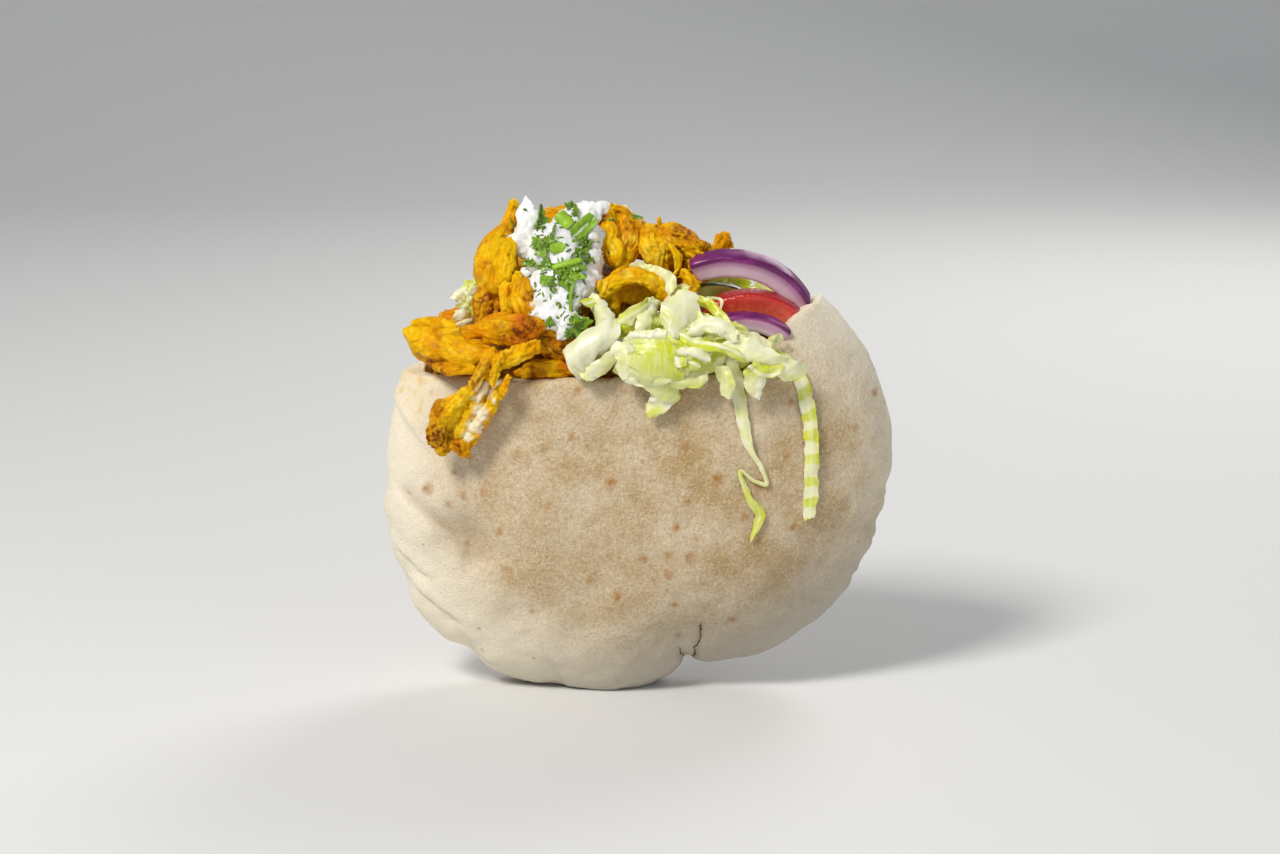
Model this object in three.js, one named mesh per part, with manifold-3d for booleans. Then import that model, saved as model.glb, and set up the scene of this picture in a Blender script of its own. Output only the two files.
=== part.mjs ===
// A filled pita sandwich that stands on its lower edge: a round pocket bread cut open along the top, packed
// with torn spiced pieces, white sauce under chopped herbs, shredded lettuce, tomato, cucumber and red onion.
// Millimetres, +Z up, +X to the right, -Y towards the side that shows the fillings best. Places below are
// measured from the bread: x and y from the middle of its seam, z from just under its lowest edge.
import * as THREE from "three";
import { mergeVertices } from "three/addons/utils/BufferGeometryUtils.js";
import Module from "manifold-3d";

const wasm = await Module();
wasm.setup();

// Where that point lies in the part's own frame, whose origin is on the floor under the sandwich's middle.
const place = { x: 0.4, y: 3.9, z: -2 };
const gap = 0.35; // clear space between pieces that lie against each other

const bread = {
  middle: { x: 0, z: 86 },
  radius: 82.1,
  // How the round departs from a circle: direction in degrees from +X, change of radius, width in degrees.
  swells: [
    { at: 8, by: 1.5, wide: 22 },
    { at: 60, by: -6, wide: 34 },
    { at: 105, by: -0.9, wide: 34 },
    { at: 170, by: 0.7, wide: 11 },
    { at: 220, by: 13.2, wide: 30 },
    { at: 242, by: 2.4, wide: 14 },
    { at: 262, by: 6, wide: 13 },
    { at: 284, by: -3.6, wide: 12 },
    { at: 325, by: 4.6, wide: 30 },
  ],
  // Folds that pinch the rim: direction, depth at the rim, and half their width in degrees.
  pleats: [
    { at: 189, by: 1, wide: 4 },
    { at: 199, by: 1.2, wide: 4 },
    { at: 210, by: 2, wide: 5 },
    { at: 231, by: 2.6, wide: 5 },
    { at: 251, by: 1.8, wide: 4 },
    { at: 282, by: 4, wide: 4.5 },
    { at: 330, by: 1.6, wide: 5 },
    { at: 341, by: 2, wide: 5 },
    { at: 349, by: 1.2, wide: 4 },
  ],
  // Hollows pressed into the front face: place, radius and depth.
  dents: [
    { x: -62, z: 57, r: 11, by: 4 },
    { x: -66, z: 86, r: 12, by: 2 },
    { x: 68, z: 50, r: 11, by: 2.5 },
    { x: 17, z: 21, r: 9, by: 3 },
    { x: -14, z: 52, r: 26, by: 1.5 },
  ],
  bulge: { front: 31, back: 29 }, // how far the faces stand from the seam in the middle
  fullness: 2.6, // the higher, the further out the faces stay full
  wall: 4,
  seam: 7, // solid bread between the pocket and the rim
  foot: 2, // the lowest edge is pressed flat at this height
};

// The cut along the top, from its left to its right corner.
const cut = {
  left: { x: -80.5, z: 110.2 },
  right: { x: 57.2, z: 133.9 },
  frontRise: 4.5, // the front edge climbs this much on the way, and the rest in the last fifth
  cornerShare: 0.8,
  backArch: 5,
  between: 7, // the front edge turns into the back edge over this much depth on each side of the seam
};

// Each torn piece runs from one end to the other, bowed between them, with its width at each end. flat is its
// depth against its width.
const pieces = [
  { name: "left_lobe", from: [-76, -15, 124], to: [-43, -28, 121], bow: [0, 0, -3], wide: [17, 8] },
  { name: "cross_piece", from: [-61, -19, 126], to: [-29, -31, 126], bow: [0, -2, 2], wide: [6, 14] },
  {
    name: "hanging_piece",
    from: [-33, -32, 123],
    to: [-66, -27, 88],
    bow: [-1, -4, -1],
    wide: [9, 20],
    flat: 0.45,
  },
  { name: "upper_lobe", from: [-39, -7, 160], to: [-51, -15, 135], bow: [-3, 0, 0], wide: [11, 16] },
  { name: "peak_piece", from: [-42, 0, 168], to: [-44, -2, 153], bow: [0, 0, 0], wide: [5, 10] },
  { name: "brown_stub", from: [-45, -17, 141], to: [-52, -20, 129], bow: [0, 0, 0], wide: [9, 11] },
  { name: "flaky_stub", from: [-40, -20, 147], to: [-37, -24, 131], bow: [0, 0, 0], wide: [7, 13] },
  { name: "shaded_piece", from: [-35, -24, 126], to: [-14, -25, 121], bow: [0, 0, 1], wide: [9, 10] },
  { name: "edge_piece", from: [-40, -23, 114], to: [-17, -24, 115], bow: [0, 0, 3], wide: [8, 8] },
  { name: "right_top", from: [-14, -3, 165], to: [-5, -10, 146], bow: [1, 0, 0], wide: [13, 13] },
  { name: "pale_bit", from: [-6, 0, 161], to: [4, -1, 155], bow: [0, 0, 1], wide: [6, 6] },
  { name: "right_big", from: [-3, -9, 150], to: [26, -7, 149], bow: [0, 0, 4], wide: [17, 15] },
  { name: "far_knob", from: [24, 1, 149], to: [30, 1, 154.5], bow: [0, 0, 0], wide: [6, 6] },
  { name: "ring_piece", from: [-13, -21, 138], to: [11, -20, 137], bow: [0, 0, 6], wide: [8, 10] },
  { name: "small_bit", from: [13, -14, 145], to: [19, -17, 138], bow: [0, 0, 0], wide: [6, 7] },
  { name: "lower_bit", from: [17, -23, 119], to: [29, -22, 118], bow: [0, 0, 0], wide: [7, 7] },
  { name: "left_end", from: [-68, -3, 114], to: [-57, 5, 123], bow: [0, 0, 1], wide: [14, 13] },
  { name: "back_left_low", from: [-70, 9, 120], to: [-41, 21, 122], bow: [0, 2, 2], wide: [14, 17] },
  { name: "back_left_high", from: [-58, 8, 131], to: [-36, 15, 140], bow: [0, 2, 1], wide: [13, 18] },
  { name: "back_top", from: [-39, 8, 152], to: [-12, 10, 155], bow: [0, 1, 3], wide: [17, 16] },
  { name: "back_middle_low", from: [-44, 21, 128], to: [-13, 25, 122], bow: [0, 2, 3], wide: [15, 15] },
  { name: "back_middle_high", from: [-32, 16, 140], to: [-4, 17, 143], bow: [0, 2, 2], wide: [16, 17] },
  { name: "back_right_low", from: [-13, 23, 129], to: [15, 21, 130], bow: [0, 2, 2], wide: [15, 16] },
  { name: "back_right_high", from: [-6, 10, 152], to: [22, 10, 144], bow: [0, 1, 2], wide: [14, 15] },
  { name: "back_right_end", from: [8, 14, 141], to: [25, 13, 134], bow: [0, 1, 2], wide: [11, 10] },
];
const pieceFlat = 0.85; // where a piece gives none
const lumpTurn = 1.9; // how much further round, in radians, each piece has its lumps than the one before
const largePiece = 10; // from this mean width on, a piece is made with more sides

// Blobs of sauce that run together: middle and radii.
const sauceBlobs = [
  { at: [-38, -9, 155], r: [6, 6, 6] },
  { at: [-38, -7, 162], r: [4.4, 4.4, 6.5] },
  { at: [-37.5, -5, 167], r: [2.2, 2.4, 4] },
  { at: [-26, -15, 149], r: [12, 8, 12] },
  { at: [-18, -7, 159], r: [9, 8, 6.5] },
  { at: [-27, -22, 137], r: [8.5, 7, 9.5] },
  { at: [-17, -17, 140], r: [5, 6, 10] },
  { at: [-27, -27, 129], r: [6, 4.5, 4.5] },
];

// Chopped herbs on the sauce: on which blobs they lie, in turn, and their size.
const herbs = { count: 16, onBlobs: [3, 4, 3, 5, 3, 4, 5, 7], length: 6, width: 3, thick: 1.2, seed: 77 };

// Arcs of onion ring: the top of the arc, its outer radius, its ends in degrees, how wide and thick the cut
// band is, and how far it leans forward in degrees.
const onionArcs = [
  { name: "onion_upper", top: [29, -13, 151.5], outer: 30, from: 22, to: 116, band: 8, thick: 7, lean: 24 },
  { name: "onion_lower", top: [34.5, -22, 133], outer: 21, from: 44, to: 118, band: 6, thick: 5, lean: 16 },
];
const tomato = { at: [36, -8, 114.6], outer: 24.5, heart: 12, from: 34, to: 142, thick: 8, lean: 10 };
const cucumber = { at: [25, -1, 120.5], outer: 19.5, heart: 6, from: 30, to: 150, thick: 4, lean: 6 };

// Shreds of lettuce: strips from end to end, each with its width and its turn about its own length.
const shredThick = 1;
const rootShare = 0.3; // how far towards the middle of its heap a shred is rooted
const frontShreds = [
  { from: [-23, -34, 124], to: [-8, -37, 116], bow: [0, -2, 1], width: 10, turn: 10 },
  { from: [-17, -26, 139], to: [-9, -31, 126], bow: [-1, -1, 0], width: 8, turn: -15 },
  { from: [-7, -28, 131], to: [5, -26, 136], bow: [0, -1, 1], width: 4.5, turn: 25 },
  { from: [7, -24, 142], to: [16, -33, 127], bow: [0, -3, 0], width: 12, turn: -8 },
  { from: [-7, -35, 123], to: [15, -37, 120], bow: [0, -3, 1], width: 12, turn: 12 },
  { from: [-3, -36, 120], to: [3, -36, 104], bow: [0, -2, 0], width: 9.5, turn: -6 },
  { from: [12, -39, 124], to: [23, -39, 122], bow: [0, -1, 1], width: 3, turn: 30 },
  { from: [15, -33, 130], to: [31, -35, 126], bow: [0, -1, 1], width: 6.5, turn: -25 },
  { from: [28, -33, 126], to: [50, -27, 114], bow: [0, -4, 1], width: 8.5, turn: 14 },
  { from: [21, -34, 111], to: [39, -33, 111], bow: [0, -1, -1], width: 9.5, turn: 0 },
  { from: [19, -22, 138], to: [27, -27, 130], bow: [2, -2, 2], width: 3.2, turn: 20 },
  { from: [-4, -18, 147], to: [10, -25, 140], bow: [3, -2, 3], width: 4, turn: -30 },
  { from: [-14, -30, 128], to: [1, -31, 133], bow: [0, -1, 1], width: 4, turn: 18 },
  { from: [0, -31, 129], to: [19, -36, 125], bow: [0, -2, 2], width: 6, turn: -12 },
  { from: [8, -37, 117], to: [26, -38, 123], bow: [0, -2, 1], width: 4.5, turn: 5 },
];
const leftShreds = [
  { from: [-56, 3, 139], to: [-62, 1, 138], bow: [0, 0, 1], width: 4.5, turn: 10 },
  { from: [-56, 2, 133], to: [-63, 0, 133.5], bow: [0, 0, -1], width: 3.6, turn: -20 },
  { from: [-56, 1, 131], to: [-63, -1, 127], bow: [0, 0, -1], width: 4.4, turn: 25 },
];
// Two long shreds hang down the face of the bread: width, and x and z along their route.
const hangingShreds = [
  {
    width: 3.2,
    route: [
      [27, 124],
      [30.6, 115],
      [32.7, 105],
      [35.1, 91],
      [40.6, 80],
      [37, 81.5],
      [33.5, 79],
      [35.3, 73],
      [40.2, 67.7],
      [36.4, 58],
    ],
  },
  {
    width: 4.4,
    route: [
      [30, 126],
      [43, 120],
      [51, 113.5],
      [54, 106],
      [55.7, 95],
      [56.3, 83],
      [55.6, 65],
    ],
  },
];
// The heap behind shows on the far side only, with shreds strewn over it.
const backStrewn = { count: 8, seed: 31, middle: [31, 16, 131], reach: [14, 5, 8], length: 24, width: 5 };
const lettuceCores = {
  front: { at: [9, -26, 122], r: [26, 11, 10] },
  left: { at: [-54, 3, 133], r: [5, 6, 8] },
  back: { at: [31, 10, 128], r: [18, 9, 11] },
};

// What is packed in the pocket under the pieces, and how it heaps up over the cut.
const stuffing = {
  slack: 1.2, // clear of the pocket's wall
  below: 3, // how far under the cut it lies at the edges
  end: 46, // the pocket is empty to the right of this x
  heaps: [
    { at: [-36, 1, 122], r: [24, 19, 17] },
    { at: [-22, 1, 136], r: [17, 12, 15] },
    { at: [4, 1, 124], r: [28, 19, 19] },
    { at: [34, 1, 118], r: [19, 15, 12] },
  ],
};

const { clamp, degToRad, euclideanModulo, lerp, radToDeg, smoothstep } = THREE.MathUtils;
const anglesApart = (a, b) => euclideanModulo(a - b + 180, 360) - 180;
const hill = (distance, width) => Math.exp(-((distance / width) ** 2));

// Repeatable draws between 0 and 1.
function drawsFrom(seed) {
  let state = seed;
  return () => {
    state = (state * 16807) % 2147483647;
    return state / 2147483647;
  };
}

// A closed geometry as a solid, each point first moved by move.
function solidFrom(geometry, move = () => {}) {
  geometry.deleteAttribute("normal");
  geometry.deleteAttribute("uv");
  const merged = mergeVertices(geometry, 1e-4);
  const points = merged.attributes.position;
  const point = new THREE.Vector3();
  for (let i = 0; i < points.count; i++) {
    point.fromBufferAttribute(points, i);
    move(point);
    points.setXYZ(i, point.x, point.y, point.z);
  }
  return new wasm.Manifold(
    new wasm.Mesh({
      numProp: 3,
      vertProperties: new Float32Array(points.array),
      triVerts: new Uint32Array(merged.index.array),
    }),
  );
}

function geometryFrom(solid) {
  const { vertProperties, triVerts } = solid.getMesh();
  return new THREE.BufferGeometry()
    .setAttribute("position", new THREE.BufferAttribute(vertProperties, 3))
    .setIndex(new THREE.BufferAttribute(triVerts, 1));
}

const joined = (solids) => solids.reduce((whole, solid) => whole.add(solid));
const largestOf = (solid) => solid.decompose().sort((a, b) => b.volume() - a.volume())[0];

// Radius of the uncut round in a direction given in degrees.
function rimRadius(angle) {
  return bread.swells.reduce((r, s) => r + s.by * hill(anglesApart(angle, s.at), s.wide), bread.radius);
}

function pleatDepth(angle) {
  const near = (pleat) => Math.max(0, 1 - Math.abs(anglesApart(angle, pleat.at)) / pleat.wide);
  return bread.pleats.reduce((depth, pleat) => depth + pleat.by * near(pleat), 0);
}

// How far the front (side -1) or back (side 1) face stands from the seam. share runs from 0 in the middle of
// the round to 1 at its rim, and thinner lowers the face.
function faceHeight(x, z, share, side, thinner) {
  const full = (side < 0 ? bread.bulge.front : bread.bulge.back) - thinner;
  const height = full * Math.sqrt(1 - Math.min(1, share) ** bread.fullness);
  if (side > 0) return height;
  const near = (dent) => hill(Math.hypot(x - dent.x, z - dent.z), dent.r);
  const pressed = bread.dents.reduce((depth, dent) => depth + dent.by * near(dent), 0);
  return height - pressed * (1 - share ** 6);
}

// The uncut round as a closed pillow, with its rim moved in by shrink and its faces lowered by thinner. Its
// corners stand closest together at the bottom, where the folds are.
function pillow(around, rings, shrink, thinner) {
  const crowding = 0.5;
  return solidFrom(new THREE.SphereGeometry(1, around, rings), (p) => {
    const side = Math.sign(p.y);
    const share = Math.min(1, Math.hypot(p.x, p.z));
    const fromTop = Math.atan2(p.z, p.x) - Math.PI / 2;
    const direction = fromTop + crowding * Math.sin(fromTop) + Math.PI / 2;
    const angle = radToDeg(direction);
    const r = share * (rimRadius(angle) - shrink) - pleatDepth(angle) * share ** 8;
    const x = bread.middle.x + r * Math.cos(direction);
    const z = bread.middle.z + r * Math.sin(direction);
    const height = share > 0.9999 ? 0 : Math.max(0.1, faceHeight(x, z, share, side, thinner));
    p.set(x, side * height, Math.max(z, bread.foot + Math.min(0, shrink)));
  });
}

// Heights of the front and the back edge of the cut at x.
function cutHeights(x) {
  const run = cut.right.x - cut.left.x;
  const rise = cut.right.z - cut.left.z;
  const share = clamp((x - cut.left.x) / run, 0, 1);
  const front = cut.frontRise * share + (rise - cut.frontRise) * smoothstep(share, cut.cornerShare, 1);
  const back = rise * share + cut.backArch * Math.sin(Math.PI * share);
  const beyond = Math.max(0, cut.left.x - x, x - cut.right.x);
  return [cut.left.z + front + beyond, cut.left.z + back + beyond];
}

// All that lies above the cut, with its lower face moved up by lift.
function aboveCut(lift) {
  const depths = [-60, -cut.between, 0, cut.between, 60];
  const [width, columns, top] = [200, 26, 240];
  return solidFrom(new THREE.BoxGeometry(width, depths.length - 1, 1, columns, depths.length - 1), (p) => {
    const y = depths[Math.round(p.y + (depths.length - 1) / 2)];
    const [front, back] = cutHeights(p.x);
    const lower = lerp(front, back, smoothstep(y, -cut.between, cut.between)) + lift;
    p.set(p.x, y, p.z < 0 ? lower : top);
  });
}

function breadSolid(grow) {
  const outer = pillow(56, 20, -grow, -grow);
  const pocket = pillow(28, 8, bread.seam + grow, bread.wall + grow);
  return outer.subtract(pocket).subtract(aboveCut(grow));
}

// A frame at one end of a line: the line's direction, a direction across it, and one that faces the viewer.
function frameAlong(direction) {
  const along = direction.clone().normalize();
  const face = new THREE.Vector3(0, -1, 0).addScaledVector(along, along.y).normalize();
  return { along, face, across: along.clone().cross(face) };
}

// One torn piece: a lumpy roll from one end to the other, with its lumps turned by turn.
function pieceSolid(piece, turn, grow) {
  const from = new THREE.Vector3(...piece.from);
  const to = new THREE.Vector3(...piece.to);
  const bow = new THREE.Vector3(...piece.bow);
  const { along, face, across } = frameAlong(to.clone().sub(from));
  const flat = piece.flat ?? pieceFlat;
  const [head, tail] = piece.wide;
  const sides = (head + tail) / 2 < largePiece ? [7, 5] : [10, 7];
  return solidFrom(new THREE.SphereGeometry(1, ...sides), (p) => {
    const u = (1 + p.y) / 2;
    const ring = Math.hypot(p.x, p.z) ** 0.8;
    const around = Math.atan2(p.z, p.x);
    const lumps =
      1 +
      0.13 * Math.sin(2 * around + 5 * u + turn) +
      0.1 * Math.sin(3 * around - 8 * u + 2.1 * turn) +
      0.08 * Math.sin(13 * u + 1.7 * turn + around);
    const half = (lerp(head, tail, u) / 2) * lumps + grow;
    p.copy(from)
      .lerp(to, u)
      .addScaledVector(bow, 4 * u * (1 - u))
      .addScaledVector(along, grow * (2 * u - 1))
      .addScaledVector(across, half * ring * Math.cos(around))
      .addScaledVector(face, half * ring * flat * Math.sin(around));
  });
}

// A lumpy ball.
function blobSolid(blob, grow, seed, around = 12, rings = 8) {
  return solidFrom(new THREE.SphereGeometry(1, around, rings), (p) => {
    const lumps =
      1 + 0.06 * Math.sin(5 * p.x + 4 * p.z + seed) + 0.05 * Math.sin(7 * p.y - 5 * p.z + 2 * seed);
    const [x, y, z] = blob.r.map((r) => r * lumps + grow);
    p.set(blob.at[0] + x * p.x, blob.at[1] + y * p.y, blob.at[2] + z * p.z);
  });
}

// A strip along a route, its flat side turned from the viewer by up to turn degrees, narrower at its ends.
function stripSolid(route, width, turn, grow, steps) {
  const curve = new THREE.CatmullRomCurve3(route);
  return solidFrom(new THREE.BoxGeometry(1, 1, 1, steps), (p) => {
    const u = p.x + 0.5;
    const { along, face, across } = frameAlong(curve.getTangent(u));
    const turned = degToRad(turn) * (0.4 + 0.6 * Math.cos(5 * u));
    const flat = across.multiplyScalar(Math.cos(turned)).addScaledVector(face, Math.sin(turned));
    const normal = along.clone().cross(flat);
    const taper = 0.6 + 0.4 * Math.sin(Math.PI * clamp(u, 0.1, 0.9));
    const beyond = Math.abs(p.x) > 0.49 ? Math.sign(p.x) * grow : 0;
    const { y, z } = p;
    p.copy(curve.getPoint(u))
      .addScaledVector(along, beyond)
      .addScaledVector(flat, y * (width * taper + 2 * grow))
      .addScaledVector(normal, z * (shredThick + 2 * grow));
  });
}

// A shred whose first end is rooted in the core of its heap.
function shredSolid(shred, core, grow) {
  const from = new THREE.Vector3(...shred.from);
  const to = new THREE.Vector3(...shred.to);
  const root = from.clone().lerp(new THREE.Vector3(...core.at), rootShare);
  const middle = from.clone().lerp(to, 0.5).add(new THREE.Vector3(...shred.bow));
  return stripSolid([root, from, middle, to], shred.width, shred.turn, grow, 4);
}

// A long shred on the front face of the bread. Above the cut it leans back into the heap.
function hangingSolid(shred, grow) {
  const [offBread, leanBack] = [1.6, 0.3];
  const route = shred.route.map(([x, z]) => {
    const edge = cutHeights(x)[0];
    const onBread = Math.min(z, edge);
    const [dx, dz] = [x - bread.middle.x, onBread - bread.middle.z];
    const share = Math.hypot(dx, dz) / rimRadius(radToDeg(Math.atan2(dz, dx)));
    const y = -faceHeight(x, onBread, share, -1, 0) - offBread + leanBack * (z - onBread);
    return new THREE.Vector3(x, y, z);
  });
  return stripSolid(route, shred.width, 0, grow, 2 * route.length);
}

function strewnShreds({ count, seed, middle, reach, length, width }) {
  const draw = drawsFrom(seed);
  return Array.from({ length: count }, () => {
    const centre = middle.map((m, axis) => m + reach[axis] * (2 * draw() - 1));
    const lean = degToRad(160 * draw() - 80);
    const half = (length * (0.6 + 0.4 * draw())) / 2;
    const step = [half * Math.cos(lean), 2 * draw() - 1, 0.7 * half * Math.sin(lean)];
    return {
      from: centre.map((c, axis) => c - step[axis]),
      to: centre.map((c, axis) => c + step[axis]),
      bow: [0, 3, 2],
      width: width * (0.6 + 0.8 * draw()),
      turn: 60 * draw() - 30,
    };
  });
}

function lettuceSolid(core, shreds, hanging, grow) {
  return joined([
    blobSolid(core, grow, 2.2),
    ...shreds.map((shred) => shredSolid(shred, core, grow)),
    ...hanging.map((shred) => hangingSolid(shred, grow)),
  ]);
}

// An arc cut from a round slice, standing on edge with its cut face to the viewer and leaning forward. middle
// is the centre of the arc.
function sliceSolid({ outer, heart, from, to, thick, lean }, middle, grow) {
  const shape = new THREE.Shape();
  shape.absarc(0, 0, outer + grow, degToRad(from), degToRad(to), false);
  shape.absarc(0, 0, heart - grow, degToRad(to), degToRad(from), true);
  const geometry = new THREE.ExtrudeGeometry(shape, {
    depth: thick + 2 * grow,
    bevelEnabled: false,
    curveSegments: 10,
  });
  geometry.translate(0, 0, -thick / 2 - grow);
  geometry.rotateX(degToRad(90 + lean));
  geometry.translate(...middle);
  return solidFrom(geometry);
}

// An arc of onion ring, given by the top of its arc.
function onionSolid(arc, grow) {
  const lean = degToRad(arc.lean);
  const [x, y, z] = arc.top;
  const middle = [x, y + arc.outer * Math.sin(lean), z - arc.outer * Math.cos(lean)];
  return sliceSolid({ ...arc, heart: arc.outer - arc.band }, middle, grow);
}

// The sauce, with its herbs where grow is 0. Each bit of herb is a flat block laid on the face of its blob.
function sauceSolid(grow) {
  const body = joined(sauceBlobs.map((blob, i) => blobSolid(blob, grow, 1.3 * i, 9, 6)));
  if (grow > 0) return body;
  const draw = drawsFrom(herbs.seed);
  const facing = new THREE.Vector3(0, 0, 1);
  const bits = Array.from({ length: herbs.count }, (_, i) => {
    const blob = sauceBlobs[herbs.onBlobs[i % herbs.onBlobs.length]];
    const out = new THREE.Vector3(1.6 * draw() - 0.8, -1, 1.5 * draw() - 0.5).normalize();
    const middle = out.clone().multiply(new THREE.Vector3(...blob.r)).add(new THREE.Vector3(...blob.at));
    const size = [herbs.length * (0.5 + 0.7 * draw()), herbs.width * (0.7 + 0.6 * draw()), herbs.thick];
    const bit = new THREE.BoxGeometry(...size);
    bit.rotateZ(Math.PI * draw());
    bit.applyQuaternion(new THREE.Quaternion().setFromUnitVectors(facing, out));
    bit.translate(...middle);
    return solidFrom(bit);
  });
  return joined([body, ...bits]);
}

function stuffingSolid(grow) {
  const { slack, below, end, heaps } = stuffing;
  const reach = 100;
  const beyond = solidFrom(new THREE.BoxGeometry(reach, reach, reach).translate(end + reach / 2, 0, reach / 2));
  const packed = pillow(28, 8, bread.seam + slack - grow, bread.wall + slack - grow).subtract(beyond);
  const heaped = heaps.map((heap, i) => blobSolid(heap, grow, 1 + 2.3 * i, 10, 6));
  return joined([packed.subtract(aboveCut(-below)), ...heaped]);
}

const finish = (color, roughness) => new THREE.MeshStandardMaterial({ color, roughness, metalness: 0 });
const finishes = {
  bread: finish("#e6d3b3", 0.85),
  piece: finish("#dfa51c", 0.55),
  sauce: finish("#f6f5ee", 0.35),
  lettuce: finish("#dbe3a0", 0.4),
  onion: finish("#b98bb0", 0.35),
  tomato: finish("#bf3a28", 0.3),
  cucumber: finish("#a9bd6b", 0.35),
  stuffing: finish("#a9741f", 0.6),
};

const cores = lettuceCores;
const recipe = [
  { name: "bread", coat: "bread", make: breadSolid },
  ...onionArcs.map((arc) => ({ name: arc.name, coat: "onion", make: (grow) => onionSolid(arc, grow) })),
  { name: "tomato_slice", coat: "tomato", make: (grow) => sliceSolid(tomato, tomato.at, grow) },
  { name: "cucumber_slice", coat: "cucumber", make: (grow) => sliceSolid(cucumber, cucumber.at, grow) },
  { name: "stuffing", coat: "stuffing", make: stuffingSolid },
  ...pieces.map((piece, i) => ({
    name: piece.name,
    coat: "piece",
    make: (grow) => pieceSolid(piece, i * lumpTurn, grow),
  })),
  {
    name: "lettuce_front",
    coat: "lettuce",
    make: (grow) => lettuceSolid(cores.front, frontShreds, hangingShreds, grow),
  },
  { name: "lettuce_left", coat: "lettuce", make: (grow) => lettuceSolid(cores.left, leftShreds, [], grow) },
  {
    name: "lettuce_back",
    coat: "lettuce",
    make: (grow) => lettuceSolid(cores.back, strewnShreds(backStrewn), [], grow),
  },
  { name: "sauce", coat: "sauce", make: sauceSolid },
];

// Each solid gives way to those before it, by the gap.
const sandwich = new THREE.Group();
const grown = [];
for (const { name, coat, make } of recipe) {
  const solid = grown.reduce((rest, other) => rest.subtract(other), make(0));
  const mesh = new THREE.Mesh(geometryFrom(largestOf(solid)), finishes[coat]);
  mesh.name = name;
  sandwich.add(mesh);
  grown.push(make(gap));
}
sandwich.position.set(place.x, place.y, place.z);

export default sandwich;
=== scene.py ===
import math

import bpy
import numpy as np
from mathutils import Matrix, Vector
from mathutils.bvhtree import BVHTree


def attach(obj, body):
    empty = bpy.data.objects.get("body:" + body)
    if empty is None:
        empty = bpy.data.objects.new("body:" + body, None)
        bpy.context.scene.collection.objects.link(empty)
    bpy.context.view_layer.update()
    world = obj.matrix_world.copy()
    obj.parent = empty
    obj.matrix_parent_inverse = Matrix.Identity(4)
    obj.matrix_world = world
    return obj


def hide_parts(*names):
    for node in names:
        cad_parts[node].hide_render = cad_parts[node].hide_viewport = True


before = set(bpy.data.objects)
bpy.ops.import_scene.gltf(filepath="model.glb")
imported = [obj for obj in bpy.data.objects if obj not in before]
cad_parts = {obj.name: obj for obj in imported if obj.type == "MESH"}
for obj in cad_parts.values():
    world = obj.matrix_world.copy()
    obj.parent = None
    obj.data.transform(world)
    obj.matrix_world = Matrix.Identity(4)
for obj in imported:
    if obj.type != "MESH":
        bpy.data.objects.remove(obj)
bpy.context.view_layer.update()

mm = 0.001
# Sizes are in millimetres, and places are measured from the middle of the bread's seam, as the solids are.
place = np.array([0.4, 3.9, -2.0])


# Noise and small sums, all on arrays of points

def noiseAt(points, size, seed=0):
    # smooth noise from about -1 to 1, with lumps of the given size (one number, or one for each axis)
    p = np.asarray(points, float) / size + 13.7 * seed
    cell = np.floor(p).astype(np.int64)
    part = p - cell
    fade = part ** 3 * (part * (part * 6 - 15) + 10)
    total = np.zeros(len(p))
    for corner in np.ndindex(2, 2, 2):
        at = cell + corner
        mixed = (at[:, 0] * 73856093) ^ (at[:, 1] * 19349663) ^ (at[:, 2] * 83492791) ^ (seed * 2654435761)
        mixed = ((mixed ^ (mixed >> 13)) * 1274126177) & 0xFFFFFFFF
        mixed = ((mixed ^ (mixed >> 15)) * 2246822519) & 0xFFFFFFFF
        slope = np.stack([(mixed >> shift & 1023) / 511.5 - 1 for shift in (0, 10, 20)], 1)
        weight = np.prod(np.where(corner, fade, 1 - fade), 1)
        total += weight * (slope * (part - corner)).sum(1)
    return total * 1.3


def layeredNoise(points, size, layers=3, seed=0):
    size = np.asarray(size, float)
    return sum(noiseAt(points, size / 2 ** k, seed + k) / 2 ** k for k in range(layers))


def hill(distance, width):
    return np.exp(-(distance / width) ** 2)


def smooth(value, low, high):
    t = np.clip((value - low) / (high - low), 0, 1)
    return t * t * (3 - 2 * t)


def unit(vectors):
    vectors = np.asarray(vectors, float)
    return vectors / np.maximum(np.linalg.norm(vectors, axis=-1, keepdims=True), 1e-9)


# Meshes as arrays: points in millimetres and faces of four corners, made into objects at the end

def joined(parts):
    points, faces, start = [], [], 0
    for somePoints, someFaces in parts:
        points.append(somePoints)
        faces.append(np.asarray(someFaces) + start)
        start += len(somePoints)
    return np.concatenate(points), np.concatenate(faces)


def newObject(name, data):
    thing = bpy.data.objects.new(name, data)
    bpy.context.scene.collection.objects.link(thing)
    return thing


def meshObject(name, points, faces):
    # faces are an array, or a list where their numbers of corners differ
    mesh = bpy.data.meshes.new(name)
    mesh.from_pydata(np.asarray(points).tolist(), [], faces if isinstance(faces, list) else faces.tolist())
    return newObject(name, mesh)


def arraysOf(mesh):
    # points and squares of a mesh that has only squares
    points = np.zeros(len(mesh.vertices) * 3)
    mesh.vertices.foreach_get("co", points)
    corners = np.zeros(len(mesh.loops), np.int32)
    mesh.loops.foreach_get("vertex_index", corners)
    return points.reshape(-1, 3), corners.reshape(-1, 4)


def skinOf(thing, voxel):
    # one closed skin of squares about voxel across, round an object with its modifiers
    skin = thing.modifiers.new("skin", "REMESH")
    skin.mode = "VOXEL"
    skin.voxel_size = voxel
    made = bpy.data.meshes.new_from_object(thing.evaluated_get(bpy.context.evaluated_depsgraph_get()))
    points, faces = arraysOf(made)
    for mesh in (made, thing.data):  # the object goes with its mesh
        bpy.data.meshes.remove(mesh)
    return points, faces


def skinned(parts, voxel):
    return skinOf(meshObject("loose", *joined(parts)), voxel)


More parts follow.
